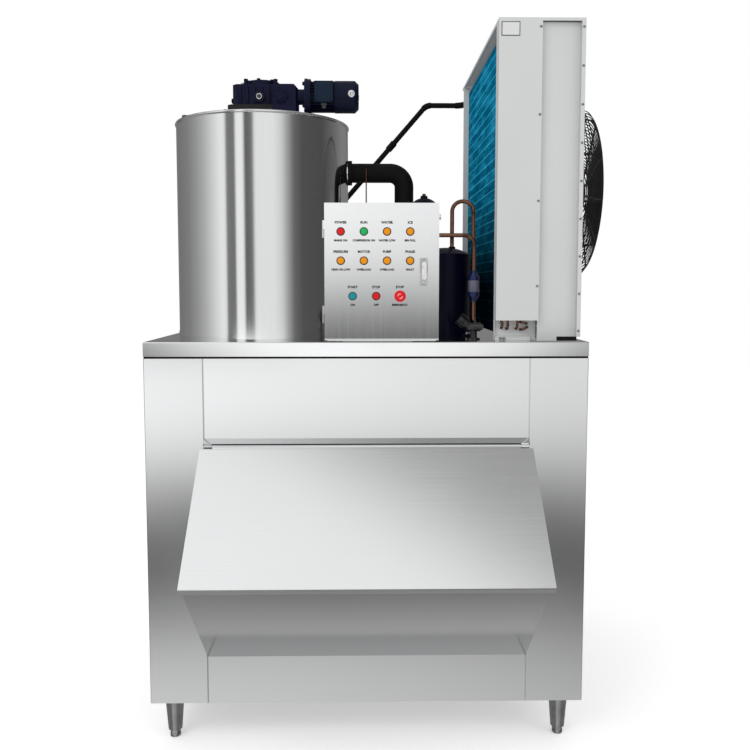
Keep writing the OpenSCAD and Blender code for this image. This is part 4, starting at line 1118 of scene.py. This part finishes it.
@dataclass
class Drive:
    """Bolts, plugs, sight glass, terminal lid and cable gland of the geared motor."""

    cap_rise: float = 0.102
    cap_ring: float = 0.052
    foot_rise: float = 0.012
    foot_ring: float = 0.098
    plate_reach: float = 0.07
    glass_rise: float = 0.030
    rim_r: float = 0.0072
    rim_wall: float = 0.0042
    rim_depth: float = 0.004
    breather: Point = (0.03, -0.045, 0.077)
    drain_reach: float = 0.05
    drain_rise: float = 0.025
    cover_at: float = 0.028
    cover_sunk: float = 0.004
    cover_ring: float = 0.0215
    flange_back: float = 0.010
    flange_ring: float = 0.056
    lid_inset: float = 0.002
    lid_depth: float = 0.006
    lid_edge: float = 0.0018
    lid_steps: Steps = ((0.009, 0.0), (0.0015, 0.0018))
    lid_screw_inset: float = 0.007
    gland_back: float = 0.016
    fitting_at: float = 0.063
    fitting_sunk: float = 0.002
    cowl_sunk: float = 0.0005
    cowl_ring: float = 0.007
    small_screw: float = 0.003

    def build(self) -> None:
        """Makes the drive's fittings."""
        self.gearbox_fittings()
        self.input_fittings()
        self.motor_fittings()

    def gearbox_fittings(self) -> None:
        """Cap bolts, stand bolts, sight glass, breather and drain plugs of the main gearbox."""
        low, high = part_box("main_gearbox")
        stand_low, stand_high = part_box("gearbox_stand")
        axis, top = middle("drum_base_ring"), stand_high.z
        cap = ring_places((axis.x, axis.y, top + self.cap_rise), self.cap_ring, 6, Facing.UP, 20.0)
        Fasteners("cap_bolts", cap, 0.0075, Facing.UP, NAVY).bolts()
        foot = ring_places((axis.x, axis.y, stand_low.z + self.foot_rise), self.foot_ring, 8, Facing.UP, 22.5)
        Fasteners("stand_bolts", foot, 0.008, Facing.UP, ZINC).bolts()
        ends, sides = (low.x - 0.009, high.x + 0.006), (-self.plate_reach, self.plate_reach)
        corners = [(x, axis.y + side, top) for x in ends for side in sides]
        Fasteners("plate_bolts", corners, 0.0044, Facing.UP, ZINC).bolts()
        glass = Vector((axis.x, low.y, top + self.glass_rise))
        rim_at = glass + Facing.FRONT.way * (self.rim_depth / 2)
        rim = Bench.band("sight_ring", self.rim_r, self.rim_wall, self.rim_depth, rim_at, Facing.FRONT)
        place(rim, CABINET, BRIGHT, "bright_metal")
        SIGHT_GLASS.add(glass, Facing.FRONT)
        BREATHER.add(Vector((low.x, axis.y, top)) + Vector(self.breather), Facing.UP)
        sides = (-self.drain_reach, self.drain_reach)
        drains = [(low.x, axis.y + side, top + self.drain_rise) for side in sides]
        Fasteners("drain_plugs", drains, 0.010, Facing.LEFT, NAVY).bolts()

    def input_fittings(self) -> None:
        """Bolts round the input gearbox's cover and its flange."""
        low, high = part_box("input_gearbox")
        axis = middle("motor_frame")
        cover_at = (low.x + self.cover_at, low.y + self.cover_sunk, axis.z)
        cover = ring_places(cover_at, self.cover_ring, 6, Facing.FRONT, 30.0)
        Fasteners("round_cover_bolts", cover, 0.0035, Facing.FRONT, NAVY).bolts()
        flange_at = (high.x - self.flange_back, axis.y, axis.z)
        flange = ring_places(flange_at, self.flange_ring, 4, Facing.LEFT, 45.0)
        Fasteners("flange_bolts", flange, 0.007, Facing.LEFT, NAVY).bolts()

    def motor_fittings(self) -> None:
        """The terminal box's lid, its gland, the bright side fitting and the cowl's screws."""
        low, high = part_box("terminal_box")
        front, inset, screw = low.y - self.lid_depth, self.lid_inset, self.lid_screw_inset
        start = (low.x + inset, front, low.z + inset)
        lid = Bench.slab(
            "terminal_lid", start, (high.x - inset, low.y, high.z - inset), self.lid_edge, self.lid_steps
        )
        place(lid, CABINET, LID_NAVY, "navy_paint")
        heights = (low.z + screw, high.z - screw)
        corners = [(x, front, z) for x in (low.x + screw, high.x - screw) for z in heights]
        Fasteners("lid_screws", corners, self.small_screw, Facing.FRONT, MOTOR_NAVY).screws()
        GLAND.add(((low.x + high.x) / 2, low.y + self.gland_back, low.z), Facing.DOWN)
        cowl_low, cowl_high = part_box("fan_cowl")
        axis = middle("fan_cowl")
        SIDE_FITTING.add((cowl_low.x + self.fitting_at, cowl_low.y + self.fitting_sunk, axis.z), Facing.FRONT)
        end = ring_places((cowl_high.x - self.cowl_sunk, axis.y, axis.z), self.cowl_ring, 3, Facing.RIGHT)
        Fasteners("cowl_screws", end, self.small_screw, Facing.RIGHT, ZINC).screws()


class Legend(Enum):
    """Plain function words above and below the lamps and buttons."""

    POWER = ("POWER", "MAINS ON")
    RUN = ("RUN", "COMPRESSOR ON")
    WATER = ("WATER", "WATER LOW")
    FULL = ("ICE", "BIN FULL")
    PRESSURE = ("PRESSURE", "HIGH OR LOW")
    MOTOR = ("MOTOR", "OVERLOAD")
    PUMP = ("PUMP", "OVERLOAD")
    PHASE = ("PHASE", "FAULT")
    START = ("START", "ON")
    STOP = ("STOP", "OFF")
    EMERGENCY = ("STOP", "EMERGENCY")


LAMP_ROWS = (
    (Legend.POWER, Legend.RUN, Legend.WATER, Legend.FULL),
    (Legend.PRESSURE, Legend.MOTOR, Legend.PUMP, Legend.PHASE),
)
BUTTONS = {Legend.START: "start_button", Legend.STOP: "stop_button", Legend.EMERGENCY: "emergency_button"}


@dataclass
class ControlBox:
    """Legends, arrows and screws on the control box's door."""

    letter: float = 0.0118
    small_letter: float = 0.0096
    letter_lift: float = 0.00013
    offset: float = 0.031
    lens_r: float = 0.0115
    arrow_r: float = 0.0078
    arrow_width: float = 0.0018
    arrow_sweep: float = 110.0
    arrow_lift: float = 0.0001
    arrow_depth: float = 0.0003
    screw_inset: float = 0.006
    screw_size: float = 0.0026

    def build(self) -> None:
        """Makes the door's details."""
        self.legends()
        self.head_arrows()
        self.lock_screws()

    def spots(self) -> dict[Legend, Vector]:
        """The middle of each lamp and button.

        Returns:
            Legend to place on the door's face.
        """
        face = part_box("control_door")[0].y - self.letter_lift
        low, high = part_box("lamp_lenses")
        across = spaced(low.x + self.lens_r, high.x - self.lens_r, len(LAMP_ROWS[0]))
        places = {}
        for row, height in zip(LAMP_ROWS, (high.z - self.lens_r, low.z + self.lens_r)):
            places.update({legend: Vector((x, face, height)) for legend, x in zip(row, across)})
        for legend, node in BUTTONS.items():
            centre = middle(node)
            places[legend] = Vector((centre.x, face, centre.z))
        return places

    def legends(self) -> None:
        """Small plain words above and below each lamp and button."""
        rise = Vector((0.0, 0.0, self.offset))
        parts = []
        for legend, spot in self.spots().items():
            upper, lower = legend.value
            name = "legend_" + legend.name.lower()
            parts.append(Bench.lettering(name, upper, self.letter, spot + rise))
            parts.append(Bench.lettering(name + "_note", lower, self.small_letter, spot - rise))
        piece = Bench.joined("door_legends", parts)
        place(piece, "control_door", LEGEND_INK, "dark_plastic").visible_glossy = False

    def head_arrows(self) -> None:
        """Two white turning arrows on the emergency head, of which the second is a turned copy."""
        centre = middle("emergency_button")
        centre.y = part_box("emergency_button")[0].y - self.arrow_lift
        start = centre + Facing.RIGHT.way * self.arrow_r
        Bench.clear()
        bpy.ops.mesh.primitive_plane_add(size=self.arrow_width, location=start, rotation=Facing.FRONT.turn)
        arrow = Bench.settle("head_arrows")
        bpy.ops.object.mode_set(mode="EDIT")
        bpy.ops.mesh.select_mode(type="EDGE")
        bpy.ops.mesh.select_all(action="DESELECT")
        bpy.ops.object.mode_set(mode="OBJECT")
        for edge in arrow.data.edges:
            edge.select = all(arrow.data.vertices[i].co.z > centre.z for i in edge.vertices)
        bpy.ops.object.mode_set(mode="EDIT")
        sweep = math.radians(self.arrow_sweep)
        bpy.ops.mesh.spin(steps=10, angle=sweep, center=centre, axis=Facing.FRONT.way)
        bpy.ops.mesh.select_all(action="SELECT")
        depth = Facing.FRONT.way * self.arrow_depth
        bpy.ops.mesh.extrude_region_move(TRANSFORM_OT_translate={"value": depth})
        bpy.ops.mesh.select_all(action="SELECT")
        bpy.ops.mesh.remove_doubles(threshold=1e-6)
        bpy.ops.mesh.normals_make_consistent(inside=False)
        bpy.ops.object.mode_set(mode="OBJECT")
        arrows = Bench.joined("head_arrows", [arrow, Bench.twin(arrow, about(centre, math.pi, "Y"))])
        place(arrows, "emergency_head", WHITE_INK, "white_sheet").visible_glossy = False

    def lock_screws(self) -> None:
        """Screws that hold the lock plate."""
        low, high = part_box("lock_plate")
        heights = (low.z + self.screw_inset, high.z - self.screw_inset)
        places = [((low.x + high.x) / 2, low.y, z) for z in heights]
        Fasteners("lock_plate_screws", places, self.screw_size, Facing.FRONT, ZINC, "control_door").screws()


RECEIVER_VALVE = TurnedPart(
    "receiver_valve", 0.016, 0.008, ((0.002, 0.002), (0.005, 0.0), (0.0, 0.006), (0.001, 0.002)),
    DARK_METAL, "bright_metal", 6,
)


@dataclass
class CompressorSet:
    """Bolts, valve, band, label and collar of the compressor, the receiver and the pipes."""

    foot_x: float = 0.107
    foot_y: float = 0.1018
    foot_height: float = 0.008
    foot_ring: float = 0.111
    valve_at: float = 0.058
    valve_sunk: float = 0.0015
    receiver_r: float = 0.048
    band_wall: float = 0.0014
    band_height: float = 0.024
    band_rise: float = 0.42
    drier_r: float = 0.021
    label_gap: float = 0.0001
    label_wall: float = 0.0006
    label_height: float = 0.044
    foam_r: float = 0.037
    port_wall: float = 0.006
    collar_gap: float = 0.0003
    collar_wall: float = 0.004
    collar_sunk: float = 0.0005
    collar_past: float = 0.004

    def build(self) -> None:
        """Makes the compressor set's fittings."""
        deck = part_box("deck")[1].z
        low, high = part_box("compressor")
        feet_at = (low.x + self.foot_x, high.y - self.foot_y, deck + self.foot_height)
        feet = ring_places(feet_at, self.foot_ring, 4, Facing.UP, 45.0)
        Fasteners("compressor_bolts", feet, 0.007, Facing.UP, ZINC).bolts()
        low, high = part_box("liquid_receiver")
        top = Vector((low.x + self.valve_at, low.y + self.valve_at, high.z - self.valve_sunk))
        RECEIVER_VALVE.add(top, Facing.UP)
        band_at = (top.x, top.y, deck + self.band_rise)
        band = Bench.band("receiver_band", self.receiver_r, self.band_wall, self.band_height, band_at)
        place(band, CABINET, ZINC, "grey_metal")
        inner = self.drier_r + self.label_gap
        label = Bench.band("drier_label", inner, self.label_wall, self.label_height, middle("filter_drier"))
        place(label, CABINET, GREY_LABEL, "white_sheet")
        self.port_collar()

    def port_collar(self) -> None:
        """A foam collar over the drum's suction port."""
        low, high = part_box("drum_jacket")
        axis = middle("drum_base_ring")
        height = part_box("suction_line")[1].z - self.foam_r
        start = 2 * axis.x - low.x - self.collar_sunk
        length = high.x - start + self.collar_past
        centre = (start + length / 2, axis.y, height)
        inner = self.foam_r + self.port_wall + self.collar_gap
        collar = Bench.band("port_collar", inner, self.collar_wall, length, centre, Facing.RIGHT)
        place(collar, CABINET, FOAM, "black_foam")


@dataclass
class Condenser:
    """Screws, guard rings, low bends, foot angle and blank plate of the condenser."""

    screw: float = 0.0042
    flange_inset: float = 0.0075
    flange_foot: float = 0.036
    flange_top: float = 0.020
    flange_count: int = 9
    cover_inset: float = 0.006
    cover_pitch: float = 0.296
    cover_count: int = 4
    panel_inset: float = 0.012
    panel_count: int = 8
    hub_sunk: float = 0.0038
    hub_ring: float = 0.040
    wire: float = 0.0022
    shoulder: float = 0.040
    inner_ring: float = 0.062
    ring_gaps: int = 13
    side_gap: float = 0.0225
    side_rings: int = 4
    tube_r: float = 0.0048
    bend_reach: float = 0.026
    bend_ends: tuple[Steps, ...] = (
        ((0.028, 0.068), (0.028, 0.044)),
        ((0.096, 0.066), (0.118, 0.060)),
        ((0.096, 0.038), (0.120, 0.048)),
    )
    plate_back: float = 0.0118
    angle_start: float = 0.004
    angle_end: float = 0.130
    angle_depth: float = 0.011
    angle_height: float = 0.014
    angle_gap: float = 0.0002
    sheet_edge: float = 0.0002
    label_start: float = 0.008
    label_end: float = 0.072
    label_foot: float = 0.052
    label_top: float = 0.004
    label_frame: float = 0.0025

    def build(self) -> None:
        """Makes the condenser's fittings."""
        self.front_screws()
        self.fan_side()
        self.guard_rings()
        self.low_bends()
        self.foot_angle()
        self.blank_plate()

    def front_screws(self) -> None:
        """Screws down the cover's edge and the front and back flanges."""
        low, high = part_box("condenser_casing")
        x = high.x - self.flange_inset
        heights = spaced(low.z + self.flange_foot, high.z - self.flange_top, self.flange_count)
        front, back = [[(x, y, z) for z in heights] for y in (low.y, high.y)]
        Fasteners("flange_screws", front, self.screw, Facing.FRONT, ZINC).screws()
        Fasteners("rear_flange_screws", back, self.screw, Facing.BACK, ZINC).screws()
        low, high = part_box("header_cover")
        top = high.z - self.flange_top
        heights = [top - i * self.cover_pitch for i in range(self.cover_count)]
        cover = [(high.x - self.cover_inset, low.y, z) for z in heights]
        Fasteners("cover_screws", cover, self.screw, Facing.FRONT, ZINC).screws()

    def fan_side(self) -> None:
        """Screws round the fan panel and bolts through the guard's middle plate."""
        low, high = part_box("fan_panel")
        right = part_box("condenser_roof")[1].x
        ys = spaced(low.y + self.panel_inset, high.y - self.panel_inset, self.panel_count)
        zs = spaced(low.z + self.panel_inset, high.z - self.panel_inset, self.panel_count)
        places = [(right, y, z) for y in ys for z in zs if y in (ys[0], ys[-1]) or z in (zs[0], zs[-1])]
        Fasteners("fan_panel_screws", places, self.screw, Facing.RIGHT, ZINC).screws()
        hub = middle("fan_guard")
        hub.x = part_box("fan_guard")[1].x - self.hub_sunk
        bolts = ring_places(hub, self.hub_ring, 4, Facing.RIGHT, 45.0)
        Fasteners("fan_motor_bolts", bolts, 0.006, Facing.RIGHT, ZINC).bolts()

    def guard_rings(self) -> None:
        """Finer rings between the guard's main hoops, on its side and over its rounded shoulder."""
        low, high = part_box("fan_guard")
        centre = (low + high) / 2
        reach = (high.y - low.y) / 2 - self.wire
        bend_x = high.x - self.wire - self.shoulder
        pitch = (reach - self.inner_ring) / self.ring_gaps
        rings = [(low.x + self.side_gap * (i + 0.5), reach) for i in range(self.side_rings)]
        for index in range(self.ring_gaps - 2):
            radius = reach - pitch * (index + 0.5)
            over = max(0.0, radius - reach + self.shoulder)
            rings.append((bend_x + math.sqrt(self.shoulder ** 2 - over ** 2), radius))
        parts = []
        for index, (x, radius) in enumerate(rings):
            at = (x, centre.y, centre.z)
            parts.append(Bench.hoop(f"guard_ring_{index}", radius, self.wire * 0.9, at, Facing.RIGHT))
        place(Bench.joined("guard_rings", parts), CABINET, BLACK_WIRE, "black_paint")

    def low_bends(self) -> None:
        """Copper bends under the header cover, between the coil's own return bends."""
        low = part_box("coil_end_plates")[0]
        face = low.y + self.plate_back
        out = Facing.FRONT.way * self.bend_reach
        parts = []
        for index, ends in enumerate(self.bend_ends):
            first, last = [Vector((low.x + across, face, low.z + up)) for across, up in ends]
            parts.append(Bench.tube(f"low_bend_{index}", [first, first + out, last + out, last], self.tube_r))
        place(Bench.joined("low_bends", parts), CABINET, COPPER, "copper")

    def foot_angle(self) -> None:
        """The white angle and its bolts at the foot of the front end plate."""
        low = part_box("coil_end_plates")[0]
        face = low.y + self.plate_back
        front = face - self.angle_depth
        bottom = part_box("deck")[1].z + self.angle_gap
        start = (low.x + self.angle_start, front, bottom)
        end = (low.x + self.angle_end, face, bottom + self.angle_height)
        angle = Bench.slab("foot_angle", start, end, 0.0012, ((0.003, 0.0), (0.0008, -0.0006)))
        place(angle, CABINET, PLATE_WHITE, "white_sheet")
        spots = [(low.x + x, front, bottom + self.angle_height / 2) for x in (0.024, 0.036)]
        Fasteners("foot_bolts", spots, 0.0045, Facing.FRONT, ZINC).bolts()

    def blank_plate(self) -> None:
        """A framed blank plate in the header cover's upper corner."""
        low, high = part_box("header_cover")
        left, right = low.x + self.label_start, low.x + self.label_end
        bottom, top = high.z - self.label_foot, high.z - self.label_top
        edge = self.label_frame
        start, end = (left, low.y - 0.0008, bottom), (right, low.y - 0.0001, top)
        rim = Bench.slab("plate_frame", start, end, self.sheet_edge, ((edge, -0.0002),))
        place(rim, CABINET, LEGEND_INK, "dark_plastic")
        start, end = (left + edge, low.y - 0.0014, bottom + edge), (right - edge, low.y - 0.0007, top - edge)
        plate = Bench.slab("blank_plate", start, end, self.sheet_edge, ((0.002, 0.0), (0.0006, -0.0002)))
        place(plate, CABINET, PALE_PLATE, "white_sheet")


# Brightness of the screens round the machine, by degrees from the front.
SCREENS: Steps = (
    (-180, 0.16), (-140, 0.16), (-110, 0.21), (-92, 0.3), (-77, 0.42), (-64, 0.6), (-50, 0.82), (-44, 0.78),
    (-42, 0.19), (-31, 0.15), (-29, 0.85), (-20, 0.85), (-17, 0.1), (-8, 0.17), (-4, 0.78), (20, 0.78),
    (30, 0.62), (36, 0.4), (46, 0.14), (58, 0.08), (90, 0.07), (114, 0.14), (137, 0.2), (180, 0.16),
)
# Brightness below the horizon, by degrees of height.
LEVELS: Steps = (
    (-90, 0.4), (-45, 0.58), (-33, 0.62), (-28, 0.62),
    (-25, 0.52), (-23, 0.3), (-21.5, 0.17), (-20, 0.09), (-18.5, 0.06), (-17, 0.09), (-15.5, 0.2),
    (-13.5, 0.52), (-11, 0.86), (-8, 0.97), (-4, 1.0), (90, 1.0),
)


@dataclass
class Studio:
    """Camera, light and floor."""

    eye: Point = (-0.06792, -3.117843, 1.6547)
    pitch: float = 4.463
    yaw: float = 0.865
    lens: float = 38.035
    shift_y: float = -0.0383
    glow: float = 1.25
    wall: Colour = (0.72, 0.72, 0.72)
    aim: Point = (0.0, 0.0, 1.3)

    def build(self) -> None:
        """Makes the studio."""
        self.camera()
        self.floor()
        self.world()
        self.lamps()

    def camera(self) -> None:
        """The camera at the photograph's viewing angle."""
        data = bpy.data.cameras.new("camera")
        data.lens = self.lens
        data.sensor_width = 36.0
        data.sensor_fit = "HORIZONTAL"
        data.shift_y = self.shift_y
        data.clip_end = 60.0
        item = bpy.data.objects.new("camera", data)
        item.location = self.eye
        item.rotation_euler = (math.radians(90.0 - self.pitch), 0.0, math.radians(-self.yaw))
        bpy.context.scene.collection.objects.link(item)
        bpy.context.scene.camera = item

    def floor(self) -> None:
        """A plain pale floor."""
        Bench.clear()
        bpy.ops.mesh.primitive_plane_add(size=24.0, location=(0, 0, -0.0005))
        item = Bench.settle("floor")
        item.data.materials.append(PaleFloor("pale_floor", (0.92, 0.92, 0.92), 0.9).material())
        item.visible_glossy = False

    def world(self) -> None:
        """White surroundings; bright and dark screens show only in reflections."""
        made = bpy.data.worlds.new("studio")
        bpy.context.scene.world = made
        made.use_nodes = True
        made.cycles.sampling_method = "NONE"
        graph = Graph(made.node_tree)
        way = graph.node("ShaderNodeTexCoord", output="Generated")
        x, y, z = [graph.node("ShaderNodeSeparateXYZ", {}, {0: way}, output=name) for name in "XYZ"]
        overhead = 1.1 - (x + y * 1.65).smooth(-0.50, -0.23) * 0.68
        seen = graph.blend(z.smooth(0.55, 0.8), self.surroundings(graph, x, y, z), overhead)
        glossy = graph.node("ShaderNodeLightPath", output="Is Glossy Ray")
        camera = graph.node("ShaderNodeLightPath", output="Is Camera Ray")
        colour = graph.blend(glossy, graph.blend(camera, self.wall, (1.0, 1.0, 1.0)), seen)
        light = graph.node("ShaderNodeBackground", {}, {"Color": colour, "Strength": 1.0})
        out = made.node_tree.nodes.new("ShaderNodeOutputWorld")
        made.node_tree.links.new(light.socket, out.inputs[0])

    def surroundings(self, graph: Graph, x: Sock, y: Sock, z: Sock) -> Sock:
        """Screens round the machine, and the rows below the horizon that bright sheet reflects.

        Args:
            graph: the world's graph.
            x: the direction's x.
            y: the direction's y.
            z: the direction's z.

        Returns:
            The brightness seen in reflections.
        """
        around = x.maths("ARCTAN2", y * -1.0) / (2 * math.pi) + 0.5
        level = z.maths("ARCSINE") / math.pi + 0.5
        screens = graph.ramp(around, [(angle / 360.0 + 0.5, grey) for angle, grey in SCREENS]) * self.glow
        rows = graph.ramp(level, [(angle / 180.0 + 0.5, grey) for angle, grey in LEVELS])
        drift = x.maths("MAXIMUM", -0.3).maths("MINIMUM", 0.3) * -0.75 + 1.22
        beneath = (y.maths("ABSOLUTE") / z * -1.0).smooth(0.34, 0.5) * 0.6 + 0.11
        below = graph.blend(z.smooth(-0.82, -0.72), beneath, rows * drift)
        ahead = graph.blend(z.smooth(-0.076, -0.056), below, screens)
        aside = graph.blend(z.smooth(-0.32, -0.05), rows * 0.55, screens)
        facing = (y * -1.0 / (1.0 - z * z).maths("SQRT")).smooth(0.78, 0.92)
        return graph.blend(z.smooth(-0.82, -0.72), below, graph.blend(facing, aside, ahead))

    def lamps(self) -> None:
        """Two soft boxes that shape the painted parts."""
        boxes = (("key_box", (-2.6, -3.2, 4.2), 2.6, 70.0), ("fill_box", (3.6, -2.2, 2.6), 2.4, 26.0))
        for name, spot, size, power in boxes:
            data = bpy.data.lights.new(name, "AREA")
            data.size = size
            data.energy = power
            item = bpy.data.objects.new(name, data)
            item.location = spot
            item.rotation_euler = (Vector(self.aim) - Vector(spot)).to_track_quat("-Z", "Y").to_euler()
            item.visible_glossy = False
            item.visible_camera = False
            bpy.context.scene.collection.objects.link(item)
        bpy.context.scene.view_settings.view_transform = "Standard"


SHIELDED = (
    "coil_fins coil_tubes coil_end_plates header_cover condenser_casing condenser_roof fan_panel fan_guard "
    "fan_motor condenser_fan condenser_pads control_case control_door case_backplate switchgear "
    "device_bezels lamp_lenses lock_plate lock_handle start_button stop_button emergency_stem "
    "emergency_button"
)


def dress_solids() -> None:
    """Gives every CAD solid its finish, and keeps condenser and control box out of the drum's mirror."""
    for name in SHIELDED.split():
        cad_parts[name].visible_glossy = False
    for finish, names in FINISHES.items():
        for name in names.split():
            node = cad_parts[name]
            node.data.materials.clear()
            node.data.materials.append(finish.material())
            LOG.info("%s is finished in %s", name, finish.name)


def main() -> None:
    """Builds the studio, dresses the solids and adds the fittings."""
    logging.basicConfig(level=logging.INFO, format="%(message)s")
    Studio().build()
    dress_solids()
    for assembly in (IceBin(), IceDrum(), Drive(), ControlBox(), CompressorSet(), Condenser()):
        assembly.build()


if __name__ == "__main__":
    main()
